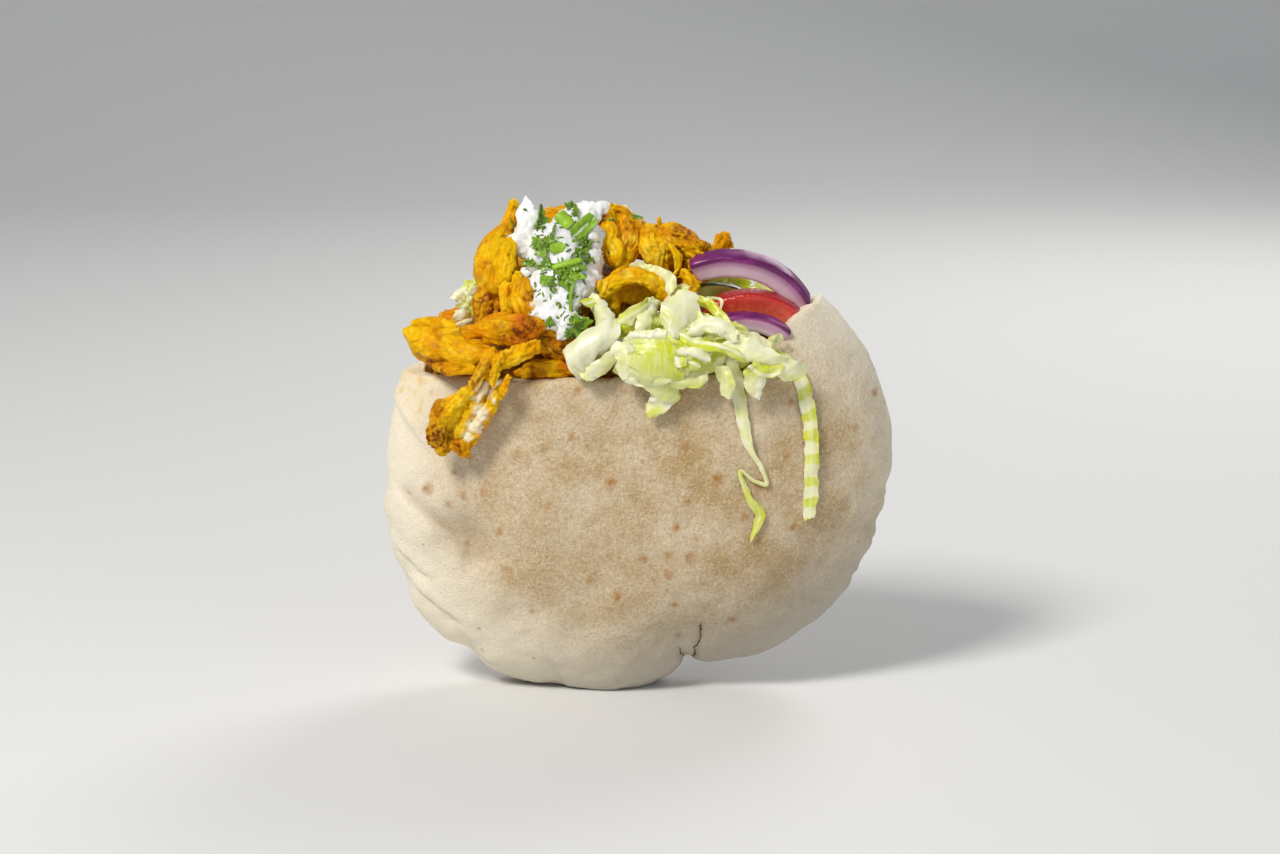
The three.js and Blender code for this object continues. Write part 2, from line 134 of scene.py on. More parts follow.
def perPoint(faces, count, values):
    # the mean, at each point, of values given for its faces
    uses = np.bincount(faces.ravel(), minlength=count)
    spread = [np.repeat(column, faces.shape[1]) for column in values.T]
    total = np.stack([np.bincount(faces.ravel(), column, minlength=count) for column in spread], 1)
    return total / np.maximum(uses, 1)[:, None]


def relaxed(points, faces, rounds=1):
    for _ in range(rounds):
        points = perPoint(faces, len(points), points[faces].mean(1))
    return points


def normalsOf(points, faces):
    a, b, c, d = (points[faces[:, k]] for k in range(4))
    return unit(perPoint(faces, len(points), np.cross(c - a, d - b)))


def makePiece(name, points, faces, material, replaced=(), marks=None, crisp=None):
    # marks are values for each point that its material reads, and crisp is the angle in degrees from which an
    # edge stays sharp
    piece = meshObject(name, (np.asarray(points) + place) * mm, faces)
    mesh = piece.data
    for key, values in (marks or {}).items():
        mark = mesh.attributes.new(key, "FLOAT", "POINT")
        mark.data.foreach_set("value", np.ascontiguousarray(values, np.float32))
    mesh.polygons.foreach_set("use_smooth", [True] * len(mesh.polygons))
    if crisp:
        mesh.set_sharp_from_angle(angle=math.radians(crisp))
    mesh.materials.append(material)
    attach(piece, "root")
    if replaced:
        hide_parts(*replaced)
    return piece


def turnsOf(count):
    # even directions all the way round, in radians
    return np.linspace(0, 2 * np.pi, count, endpoint=False)


def tubeFaces(rows, sides, turned=False):
    # the squares between the rings of a tube, and turned makes them face the other way
    at = np.arange(rows * sides).reshape(rows, sides)
    beside = np.roll(at, -1, 1)
    corners = [at[:-1], beside[:-1], beside[1:], at[1:]]
    if turned:
        corners = corners[:1] + corners[:0:-1]
    return np.stack(corners, -1).reshape(-1, 4)


def closedGrid(upper, lower):
    # two grids of points, rows by columns, closed all round their rims
    at = np.arange(upper[..., 0].size).reshape(upper.shape[:2])
    a, b, c, d = at[:-1, :-1], at[:-1, 1:], at[1:, 1:], at[1:, :-1]
    rim = np.concatenate([at[0, :-1], at[:-1, -1], at[-1, :0:-1], at[:0:-1, 0]])
    following = np.roll(rim, -1)
    faces = [np.stack([a, d, c, b], -1).reshape(-1, 4), np.stack([a, b, c, d], -1).reshape(-1, 4) + at.size,
             np.stack([rim, following, following + at.size, rim + at.size], -1)]
    return np.concatenate([upper.reshape(-1, 3), lower.reshape(-1, 3)]), np.concatenate(faces)


def roundLoft(middles, across, face, halves, depths, sides=12, uneven=1):
    # a closed tube round a line of middles: half widths across, half depths towards face
    count, turns = len(middles), turnsOf(sides)
    waves = (np.cos(turns) * uneven, np.sin(turns) * uneven)
    around, deep = (np.broadcast_to(wave, (count, sides))[..., None] for wave in waves)
    ring = across[:, None] * around * halves[:, None, None] + face[:, None] * deep * depths[:, None, None]
    points = np.concatenate([(middles[:, None] + ring).reshape(-1, 3), middles[:1], middles[-1:]])
    first, last, base = len(points) - 2, len(points) - 1, (count - 1) * sides
    caps = []
    for j in range(0, sides, 2):
        k, m = (j + 1) % sides, (j + 2) % sides
        caps += [(first, m, k, j), (last, base + j, base + k, base + m)]
    return points, np.concatenate([tubeFaces(count, sides), caps])


def framesAlong(line, towards=(0, -1, 0)):
    # for each point of a line: its direction, the direction across it, and one that faces towards
    along = unit(np.gradient(line, axis=0))
    face = unit(np.asarray(towards, float) - along * (along @ np.asarray(towards, float))[:, None])
    return along, np.cross(along, face), face


def curveThrough(stops, count):
    # an even run of points on a smooth curve through the stops
    stops = np.asarray(stops, float)
    gaps = np.sqrt(np.linalg.norm(np.diff(stops, axis=0), axis=1))
    knots = np.concatenate([[0], np.cumsum(gaps)])
    slopes = np.gradient(stops, knots, axis=0)
    t = np.linspace(0, knots[-1], count * 4)
    i = np.clip(np.searchsorted(knots, t, "right") - 1, 0, len(stops) - 2)
    h = (knots[i + 1] - knots[i])[:, None]
    s = ((t - knots[i]) / h[:, 0])[:, None]
    line = (
        (2 * s ** 3 - 3 * s ** 2 + 1) * stops[i]
        + (s ** 3 - 2 * s ** 2 + s) * h * slopes[i]
        + (3 * s ** 2 - 2 * s ** 3) * stops[i + 1]
        + (s ** 3 - s ** 2) * h * slopes[i + 1]
    )
    run = np.concatenate([[0], np.cumsum(np.linalg.norm(np.diff(line, axis=0), axis=1))])
    even = np.linspace(0, run[-1], count)
    return np.stack([np.interp(even, run, line[:, k]) for k in range(3)], 1)


# Shader helpers

def addNode(tree, kind, inputs=None, **settings):
    node = tree.nodes.new(kind)
    for key, value in settings.items():
        setattr(node, key, value)
    for key, value in (inputs or {}).items():
        if isinstance(value, bpy.types.NodeSocket):
            tree.links.new(value, node.inputs[key])
        else:
            node.inputs[key].default_value = value
    return node


def mathNode(tree, operation, first, second=0.0):
    return addNode(tree, "ShaderNodeMath", {0: first, 1: second}, operation=operation).outputs[0]


def colour(red, green, blue):
    # a screen colour, 0 to 255, as Blender's linear one
    linear = [((v / 255 + 0.055) / 1.055) ** 2.4 if v > 10 else v / 255 / 12.92 for v in (red, green, blue)]
    return (*linear, 1)


def newGroup(name, inputs):
    group = bpy.data.node_groups.new(name, "ShaderNodeTree")
    for label, value in inputs.items():
        socket = group.interface.new_socket(label, in_out="INPUT", socket_type="NodeSocketFloat")
        socket.default_value = value
    group.interface.new_socket("Mask", in_out="OUTPUT", socket_type="NodeSocketFloat")
    result = addNode(group, "NodeGroupOutput").inputs["Mask"]
    where = addNode(group, "ShaderNodeTexCoord").outputs["Object"]
    return group, addNode(group, "NodeGroupInput").outputs, result, where


def makeMottle():
    # soft patches: size in millimetres, and the noise value from which a patch shows
    inputs = {"Size": 5, "Start": 0.5, "Soft": 0.15, "Detail": 3, "Shift": 0}
    group, given, result, where = newGroup("mottle", inputs)
    scale = mathNode(group, "DIVIDE", 1000.0, given["Size"])
    noise = {"Vector": where, "W": given["Shift"], "Scale": scale, "Detail": given["Detail"],
             "Roughness": 0.55}
    value = addNode(group, "ShaderNodeTexNoise", noise, noise_dimensions="4D").outputs["Fac"]
    end = mathNode(group, "ADD", given["Start"], given["Soft"])
    mask = addNode(group, "ShaderNodeMapRange", {"Value": value, "From Min": given["Start"], "From Max": end},
                   interpolation_type="SMOOTHSTEP")
    group.links.new(mask.outputs[0], result)
    return group


def makeSpecks():
    # scattered dots of uneven size: spacing between them in millimetres, and their radius as a share of it
    inputs = {"Spacing": 6, "Radius": 0.2, "Kept": 0.5, "Ragged": 0.3}
    group, given, result, where = newGroup("specks", inputs)
    scale = mathNode(group, "DIVIDE", 1000.0, given["Spacing"])
    finer = mathNode(group, "MULTIPLY", scale, 4.0)
    ragged = addNode(group, "ShaderNodeTexNoise", {"Vector": where, "Scale": finer, "Detail": 2.0})
    cells = addNode(group, "ShaderNodeTexVoronoi", {"Vector": where, "Scale": scale, "Randomness": 1.0})
    push = mathNode(group, "MULTIPLY", ragged.outputs["Fac"], given["Ragged"])
    away = mathNode(group, "ADD", cells.outputs["Distance"], push)
    pick = addNode(group, "ShaderNodeSeparateColor", {"Color": cells.outputs["Color"]}).outputs
    radius = mathNode(group, "MULTIPLY", given["Radius"], pick["Green"])
    inner = mathNode(group, "MULTIPLY", radius, 0.5)
    dot = addNode(group, "ShaderNodeMapRange", {"Value": away, "From Min": radius, "From Max": inner})
    kept = mathNode(group, "LESS_THAN", pick["Red"], given["Kept"])
    group.links.new(mathNode(group, "MULTIPLY", dot.outputs[0], kept), result)
    return group


mottle = makeMottle()
specks = makeSpecks()


class Finish:
    # a material under construction, with its shader and the few steps that most of them use. within is the
    # light that it lets in (weight, scale in metres, and how deep each colour goes), and coat the weight and
    # roughness of its wet gloss. A colour is three screen values.
    def __init__(self, name, rough, gloss=0.5, within=(), coat=(), others=()):
        self.material = bpy.data.materials.new(name)
        self.material.use_nodes = True
        self.tree = self.material.node_tree
        self.shader = self.tree.nodes["Principled BSDF"]
        given = [("Roughness", rough), ("Specular IOR Level", gloss), *others]
        given += zip(("Subsurface Weight", "Subsurface Scale", "Subsurface Radius"), within)
        given += zip(("Coat Weight", "Coat Roughness"), coat)
        for key, value in given:
            self.shader.inputs[key].default_value = value

    def mask(self, group, **values):
        node = addNode(self.tree, "ShaderNodeGroup", node_tree=group)
        for key, value in values.items():
            node.inputs[key].default_value = value
        return node.outputs["Mask"]

    def mark(self, name):
        return addNode(self.tree, "ShaderNodeAttribute", attribute_name=name).outputs["Fac"]

    def blend(self, share, first, second):
        first, second = (colour(*value) if isinstance(value, tuple) else value for value in (first, second))
        given = {0: share, 6: first, 7: second}
        return addNode(self.tree, "ShaderNodeMix", given, data_type="RGBA").outputs[2]

    def layers(self, base, laid):
        # colours laid on a base one by one: where each shows, how strongly, and the colour
        for where, strength, laidColour in laid:
            base = self.blend(self.times(where, strength), base, laidColour)
        self.feed("Base Color", base)

    def times(self, first, second):
        return mathNode(self.tree, "MULTIPLY", first, second)

    def ramp(self, value, low, high, start=0.0, end=1.0):
        given = {"Value": value, "From Min": low, "From Max": high, "To Min": start, "To Max": end}
        return addNode(self.tree, "ShaderNodeMapRange", given).outputs[0]

    def feed(self, socket, source):
        self.tree.links.new(source, self.shader.inputs[socket])

    def noise(self, scale, detail, rough=0.6, where=None, **settings):
        # plain noise: scale is the number of its lumps in a metre, or in one unit of where
        if where is None:
            where = addNode(self.tree, "ShaderNodeTexCoord").outputs["Object"]
        given = {"Vector": where, "Scale": scale, "Detail": detail, "Roughness": rough}
        return addNode(self.tree, "ShaderNodeTexNoise", given, **settings).outputs["Fac"]

    def bump(self, height, strength, distance, under=None):
        # distance in millimetres; under is a bump that this one is laid on
        given = {"Height": height, "Strength": strength, "Distance": distance * mm}
        if under:
            given["Normal"] = under
        normal = addNode(self.tree, "ShaderNodeBump", given).outputs["Normal"]
        self.feed("Normal", normal)
        return normal


# The bread


breadSet = {
    "middle": (0, 86),  # x and z of the round's middle
    "radius": 82.1,
    # how the round departs from a circle: direction in degrees, change of radius, width in degrees
    "swells": [(8, 1.5, 22), (60, -6, 34), (105, -0.9, 34), (170, 0.7, 11), (220, 13.2, 30), (242, 2.4, 14),
               (262, 6, 13), (284, -3.6, 12), (325, 4.6, 30)],
    # folds that pinch the rim: direction, depth and half their width in degrees
    "pleats": [(189, 1, 4), (199, 1.2, 4), (210, 2, 5), (231, 2.6, 5), (251, 1.8, 4), (282, 4, 4.5),
               (330, 1.6, 5), (341, 2, 5), (349, 1.2, 4)],
    # hollows in the front face: x, z, radius and depth
    "dents": [(-60.5, 57, 9.5, 5.4), (-66, 86, 12, 2), (68, 50, 11, 2.5), (17, 21, 9, 3), (-14, 52, 26, 1.5)],
    "frontBulge": 31,
    "backBulge": 29,
    "fullness": 2.6,
    "wall": 4,
    "seam": 7,
    "foot": 2,
    "outerGrid": (300, 110),  # points round it, and rings from the middle of one face to the other's
    "pocketGrid": (160, 60),
    "voxel": 1.07,
    # creases in the front: stops in x and z, how deep, how wide, how dark the shade painted in them is, and
    # which side overlaps the other
    "creases": [
        ([(-80, 71.5), (-75, 67), (-69.5, 63), (-65, 59.8), (-61.5, 56.5), (-59, 52.5), (-57.5, 47)],
         3, 4.4, 0.45, 1),
        ([(-81, 51), (-74, 45), (-69, 43)], 1.5, 1.5, 0.1, -1),
        ([(-78, 40), (-70, 34), (-60, 27)], 1.7, 1.8, 0.15, -1),
        ([(-84, 104), (-79, 97), (-74, 91), (-71, 87)], 1.3, 2.2, 0.0, -1),
        ([(-60, 24), (-54, 14), (-50, 11)], 1.4, 1.5, 0.1, -1),
        ([(-30, 16), (-27, 9), (-26, 3)], 1.0, 1.5, 0.1, -1),
        ([(16.5, 1), (15.6, 11), (12.8, 18)], 1.1, 1.6, 0.2, 0),
        ([(15.6, 9), (18.6, 16), (19.8, 20), (20.2, 28)], 0.9, 1.3, 0.15, 0),
        ([(83, 55), (76, 53), (66, 48)], 1.6, 1.8, 0.1, 1),
        ([(78, 42), (70, 41)], 1.2, 1.5, 0.1, 1),
        ([(84, 68), (76, 66), (72, 63)], 1.0, 1.6, 0.05, 1),
    ],
    # the fold at the lower left, where shade is painted: x, z, half width, half height and how dark
    "shaded": (-57, 57.5, 6, 8.5, 0.36),
    # soft rises and hollows in the front: x, z, radius and height
    "rises": [(-46, 39, 8, 1.3), (-71, 57, 7, 1.0), (-72, 76, 8, 0.9), (-57, 51, 4.5, -0.4),
              (-30, 60, 15, 0.8), (30, 74, 16, 0.9), (52, 92, 10, -0.8), (36, 30, 14, 0.8),
              (-20, 30, 12, -0.7)],
    # how far it may be pressed in before it gives less and less, and how much more there is then
    "pressed": (1.8, 1.2),
    # the larger baked spots on the front: x, z and radius
    "spots": [
        (-70, 73.5, 1.9), (-58.5, 72.5, 1.5), (-63.5, 68.5, 1.3), (-55.5, 85, 1.4), (-22.5, 93.5, 1.6),
        (-17.5, 90, 1.0), (-39.5, 87.5, 1.6), (-44, 48, 1.5), (-16.5, 45, 1.6), (-7.5, 39, 1.6),
        (1, 52, 1.4), (-46, 61, 1.2), (-31, 89.5, 1.2), (-9.5, 78, 1.9), (49, 104, 1.5),
        (70.5, 94, 1.3), (25, 79.5, 2.2), (39.5, 76.5, 1.3), (15, 72, 1.6), (18.5, 59.5, 1.4),
        (50.5, 62, 1.3), (9.5, 46.5, 1.5), (9.5, 54, 1.3), (21, 43, 1.2), (11.5, 35.5, 1.1),
        (31, 30, 1.5), (16.5, 52.5, 2.0), (48, 86, 1.2), (78, 104, 1.3), (12, 63, 1.3),
        (-61, 80, 1.0), (-52, 74, 1.1), (-30, 70, 1.2), (34, 66, 1.1), (62, 78, 1.1),
        (-36, 33, 1.2),
    ],
    # thin cracks at the foot of the front, in x and z
    "cracks": {"crack": [(16.6, 2), (15.8, 11), (14, 15), (12.8, 19)],
               "branch": [(15.8, 10), (18.8, 15), (18.2, 18), (20, 21), (20.4, 29)]},
    "toasted": (8, 76, 84, 70),  # middle and reach of the browner part, in x and z
    "oil": (-74, 106, 9),  # x, z and radius of the oily stain at the corner
}
cutSet = {"left": (-80.5, 110.2), "right": (57.2, 133.9), "frontRise": 4.5, "cornerShare": 0.8, "backArch": 5,
          "between": 7, "reach": 100, "out": 60, "top": 240, "steps": 81}


def apart(angles, at):
    return (angles - at + 180) % 360 - 180


def rimRadius(angles):
    return breadSet["radius"] + sum(by * hill(apart(angles, at), wide) for at, by, wide in breadSet["swells"])


def pleatDepth(angles):
    folds = breadSet["pleats"]
    return sum(by * np.maximum(0, 1 - np.abs(apart(angles, at)) / wide) for at, by, wide in folds)


def faceHeight(x, z, share, side, thinner=0):
    # how far the front (side -1) or back (side 1) of the bread stands from its seam
    s = breadSet
    full = np.where(side < 0, s["frontBulge"], s["backBulge"]) - thinner
    height = full * np.sqrt(1 - np.minimum(1, share) ** s["fullness"])
    pressed = sum(by * hill(np.hypot(x - dx, z - dz), r) for dx, dz, r, by in s["dents"])
    return height - np.where(side < 0, pressed * (1 - share ** 6), 0)


def shareAt(x, z):
    dx, dz = x - breadSet["middle"][0], z - breadSet["middle"][1]
    return np.hypot(dx, dz) / rimRadius(np.degrees(np.arctan2(dz, dx)))


def breadFront(x, z):
    # y of the front face of the bread at x, z
    x, z = np.asarray(x, float), np.asarray(z, float)
    share = np.minimum(shareAt(x, z), 1)
    return -faceHeight(x, z, share, -1)


def cutHeights(x):
    (x0, z0), (x1, z1) = cutSet["left"], cutSet["right"]
    share = np.clip((x - x0) / (x1 - x0), 0, 1)
    front = cutSet["frontRise"] * share
    front = front + (z1 - z0 - cutSet["frontRise"]) * smooth(share, cutSet["cornerShare"], 1)
    back = (z1 - z0) * share + cutSet["backArch"] * np.sin(np.pi * share)
    beyond = np.maximum(0, np.maximum(x0 - x, x - x1))
    return z0 + front + beyond, z0 + back + beyond


def pillow(around, rings, shrink=0, thinner=0):
    # the uncut round as a closed object: a grid from the front's middle over the rim to the back's
    s = breadSet
    directions = turnsOf(around)
    steps = np.linspace(0, np.pi, rings + 1)[1:-1]
    share = np.sin(steps)[:, None] * np.ones(around)
    side = np.where(steps < np.pi / 2 - 1e-6, -1, 1)[:, None] * np.ones(around)
    angles = np.degrees(directions)[None] * np.ones(share.shape)
    r = share * (rimRadius(angles) - shrink) - pleatDepth(angles) * share ** 8
    x = s["middle"][0] + r * np.cos(directions)
    z = s["middle"][1] + r * np.sin(directions)
    height = np.where(share > 0.99999, 0, np.maximum(0.1, faceHeight(x, z, share, side, thinner)))
    grid = np.stack([x, side * height, np.maximum(z, s["foot"])], -1).reshape(-1, 3)
    ends = [(s["middle"][0], side * float(faceHeight(*s["middle"], 0, side, thinner)), s["middle"][1])
            for side in (-1, 1)]
    front, back, lastRow = len(grid), len(grid) + 1, (len(steps) - 1) * around
    caps = []
    for j in range(around):
        k = (j + 1) % around
        caps += [(front, j, k), (back, lastRow + k, lastRow + j)]
    faces = tubeFaces(len(steps), around, True).tolist() + caps
    return meshObject("loose", np.concatenate([grid, ends]), faces)


def aboveCut():
    # what is cut away above the mouth, as a closed object
    out, between = cutSet["out"], cutSet["between"]
    xs = np.linspace(-cutSet["reach"], cutSet["reach"], cutSet["steps"])
    ys = np.array([-out, *np.linspace(-between, between, 5), out])
    front, back = cutHeights(xs)
    share = smooth(ys, -between, between)
    low = front[:, None] * (1 - share) + back[:, None] * share
    x, y = np.meshgrid(xs, ys, indexing="ij")
    grids = [np.stack([x, y, z], -1) for z in (np.full(low.shape, cutSet["top"]), low)]
    return meshObject("loose", *closedGrid(*grids))


def breadFinish():
    finish = Finish("floury bread", 0.85, 0.2, (0.06, 0.003, (1.0, 0.6, 0.35)),
                    others=[("Sheen Weight", 0.08), ("Sheen Roughness", 0.5)])
    toast = finish.mark("toast")
    patches = finish.mask(mottle, Size=11, Start=0.36, Soft=0.34, Detail=6, Shift=1.3)
    fine = finish.mask(mottle, Size=1.5, Start=0.4, Soft=0.24, Detail=5, Shift=4.1)
    spots = finish.mask(specks, Spacing=12, Radius=0.32, Kept=0.45, Ragged=0.2)
    dots = finish.mask(specks, Spacing=4.5, Radius=0.36, Kept=0.25, Ragged=0.2)
    meal = finish.noise(1000 / 0.8, 5)
    warm = finish.times(toast, finish.ramp(patches, 0, 1, 0.66, 1.0))
    wander = finish.ramp(finish.noise(400, 3), 0.3, 0.7, -0.6, 0.6)
    brown = (172, 114, 38)
    laid = [
        (warm, 1, (190, 159, 108)),
        (finish.times(warm, fine), 0.5, (176, 140, 90)),
        (finish.ramp(meal, 0.52, 0.34), finish.ramp(toast, 0, 1, 0.1, 0.5), (160, 134, 100)),
        (finish.ramp(meal, 0.54, 0.68), finish.ramp(toast, 0, 1, 0.1, 0.6), (238, 222, 192)),
        (finish.times(spots, finish.ramp(toast, 0.0, 0.6, 0.35, 1.0)), 0.7, brown),
        (dots, 0.55, (176, 128, 62)),
        (finish.mark("spot"), finish.ramp(fine, 0, 1, 0.55, 1.0), brown),
        # painted shade: greyer towards the bottom and the right, where less light falls
        (finish.mark("lowerShade"), 0.8, (158, 153, 143)),
        # painted shade in the creases and in the fold at the lower left
        (finish.mark("creaseShade"), 1, (126, 98, 66)),
        (finish.mark("oil"), 0.9, (226, 188, 70)),
    ]
    for name in breadSet["cracks"]:
        # these marks hold the distance from the line of the crack, in millimetres
        away = mathNode(finish.tree, "ADD", finish.mark(name), wander)
        line = finish.ramp(mathNode(finish.tree, "ABSOLUTE", away), 0.4, 0.1)
        laid.append((line, finish.mark(name + "Share"), (70, 52, 36)))
    finish.layers((249, 238, 214), laid)
    ridges = finish.noise(1000 / 1.7, 4, noise_type="RIDGED_MULTIFRACTAL")
    broad = finish.bump(finish.times(ridges, finish.ramp(toast, 0, 0.8, 0.35, 1.0)), 0.45, 0.4)
    finish.bump(meal, 0.9, 0.6, broad)
    return finish.material


def fromLine(points, stops):
    # for each point, as seen from the front: its distance from a broken line, with a sign for the side it is
    # on, and how far inside the two ends of the line it lies
    flat = points[:, [0, 2]]
    stops = np.array(stops, float)
    best = np.full(len(flat), 1e9)
    signed, inside = np.zeros(len(flat)), np.zeros(len(flat))
    lengths = np.linalg.norm(np.diff(stops, axis=0), axis=1)
    before = np.concatenate([[0], np.cumsum(lengths)])
    for k, (a, b) in enumerate(zip(stops[:-1], stops[1:])):
        way = (b - a) / lengths[k]
        run = (flat - a) @ way
        low = -1e9 if k == 0 else 0
        high = 1e9 if k == len(lengths) - 1 else lengths[k]
        held = np.clip(run, low, high)
        away = flat - a - held[:, None] * way
        distance = np.linalg.norm(away, axis=1)
        side = np.sign(way[0] * away[:, 1] - way[1] * away[:, 0])
        nearer = distance < best
        best = np.where(nearer, distance, best)
        signed = np.where(nearer, distance * side, signed)
        inside = np.where(nearer, np.minimum(before[k] + run, before[-1] - before[k] - run), inside)
    return signed, inside


def breadForm():
    # the pillow less its pocket and what is above the cut, in one skin
    outer = pillow(*breadSet["outerGrid"])
    tools = [pillow(*breadSet["pocketGrid"], breadSet["seam"], breadSet["wall"]), aboveCut()]
    for tool in tools:
        taking = outer.modifiers.new("cut", "BOOLEAN")
        taking.operation = "DIFFERENCE"
        taking.solver = "MANIFOLD"
        taking.object = tool
    points, faces = skinOf(outer, breadSet["voxel"])
    for tool in tools:
        bpy.data.meshes.remove(tool.data)
    return relaxed(points, faces), faces


def creased(points, lift, onFront):
    # the relief with its creases pressed in, and the shade painted in them and in the fold at the lower left
    creaseShade = np.zeros(len(points))
    wobble = 0.5 * noiseAt(points, 5, 15)
    for stops, deep, wide, dark, over in breadSet["creases"]:
        away, inside = fromLine(points, stops)
        away = away + wobble
        held = smooth(inside, -2, 3) * onFront
        if over:
            down = np.exp(-np.maximum(away * over, 0) / (1.7 * wide)) * smooth(away * over, -0.8, 1.3)
            shape = -down + 0.32 * hill(away * over + 1.2, 1.6 * wide)
            shade = down * hill(away, 0.7 * wide)
        else:
            shade = hill(away, wide)
            shape = -shade + 0.25 * hill(away, 3 * wide)
        lift = lift + deep * held * shape
        creaseShade = np.maximum(creaseShade, dark * held * shade)
    x, z, halfWidth, halfHeight, dark = breadSet["shaded"]
    near = hill(np.hypot((points[:, 0] - x) / halfWidth, (points[:, 2] - z) / halfHeight), 1)
    return lift, np.maximum(creaseShade, dark * onFront * near)


def bakedMarks(points, onFront, outside, belowCut, bubbles):
    # where it is toasted, oily, spotted and cracked, and where shade is painted grey towards the lower right
    x, y, z = points.T
    middleX, middleZ, reachX, reachZ = breadSet["toasted"]
    toast = smooth(1 - np.hypot((x - middleX) / reachX, (z - middleZ) / reachZ), -0.1, 0.4)
    toast = toast * (0.82 + 0.36 * layeredNoise(points, 20, 3, 31)) * outside
    stainX, stainZ, radius = breadSet["oil"]
    oil = np.where(onFront, hill(np.hypot(x - stainX, z - stainZ), radius), 0)
    oil = oil * (0.2 + 1.5 * np.maximum(0, noiseAt(points, 3, 41)))
    oil = oil + np.where((belowCut < 3) & (y < 0), 0.35 * np.clip(noiseAt(points, 7, 44), 0, 1), 0)
    spot = np.zeros(len(points))
    ragged = 0.8 * noiseAt(points, 2.4, 35)
    for spotX, spotZ, radius in breadSet["spots"]:
        away = np.hypot(x - spotX, z - spotZ) + ragged
        strength = 0.8 + 0.2 * math.sin(2.3 * spotX)
        spot = np.maximum(spot, strength * onFront * smooth(-away, -1.5 * radius, -0.3 * radius))
    marks = {"toast": np.clip(toast + 0.25 * bubbles, 0, 1), "oil": np.clip(oil, 0, 1), "spot": spot,
             # painted shade, greyer towards the bottom and the right
             "lowerShade": smooth(30 - z + 0.45 * x, -18, 40) * outside}
    for key, stops in breadSet["cracks"].items():
        away, inside = fromLine(points, stops)
        marks[key] = np.clip(away, -6, 6)
        marks[key + "Share"] = smooth(inside, -0.5, 2.5) * onFront
    return marks


def makeBread():
    points, faces = breadForm()
    normals = normalsOf(points, faces)
    x, y, z = points.T
    share = shareAt(x, z)
    height = faceHeight(x, z, np.minimum(share, 0.999), np.sign(y))
    outside = (np.abs(y) > 0.8 * height - 1.2) | (share > 0.935)
    onFront = (y < 8) & outside
    front, back = cutHeights(x)
    belowCut = np.where(y < 0, front, back) - z
    # broad waves, baked bubbles and a fine mealy grain
    lift = 0.8 * noiseAt(points, 26, 3) + 0.45 * layeredNoise(points, 10, 2, 5)
    lift = lift + 0.16 * layeredNoise(points, 3.2, 2, 9)
    bubbles = np.maximum(0, noiseAt(points, 13, 12) - 0.35)
    lift = np.where(outside, lift + 1.2 * bubbles, 0.3 * lift)
    lift, creaseShade = creased(points, lift, onFront)
    for riseX, riseZ, radius, height in breadSet["rises"]:
        lift = lift + np.where(onFront, height * hill(np.hypot(x - riseX, z - riseZ), radius), 0)
    free, more = breadSet["pressed"]
    lift = np.where(lift < -free, -free - more * np.tanh((-free - lift) / more), lift)
    # the cut edge is ragged
    lip = np.clip(1 - belowCut / 2.2, 0, 1)
    ragged = 0.5 * layeredNoise(points, 4, 2, 21)
    points = points + normals * lift[:, None]
    points[:, 2] = np.maximum(points[:, 2] + lip * ragged, breadSet["foot"])
    marks = bakedMarks(points, onFront, outside, belowCut, bubbles)
    # painted shade in the creases and the fold
    marks["creaseShade"] = np.clip(creaseShade, 0, 1)
    return makePiece("bread_shell", points, faces, breadFinish(), ["bread"], marks)


breadPiece = makeBread()
print("bread:", len(breadPiece.data.polygons), "faces")


# The torn pieces: each is a bundle of strands pressed together. A strand is a row of places with its half
# width there. depth is a strand's thickness against its width, fibre the relief in millimetres, grain the
# width of a fibre, lumps and crumbs a coarser relief, crimp small ripples along a strand, and frayed how many
# loose fibres it has. toast holds the browned spots (place, radius, how strong), cut and white the paler and
# the white ones (place and radius), and the settings for the pale tint, red and olive are how much of those
# tints there is. The pale tint is laid on the raised fibres and lumps as a painted highlight, and on the cut
# faces, which are paler flesh. Some browned spots also paint the shade that a piece lies in.

tornUsual = {"frayed": 5, "crumbs": 0, "crimp": 0, "paleAndHighlight": 0.8, "red": 0, "olive": 0, "cut": [], "white": []}

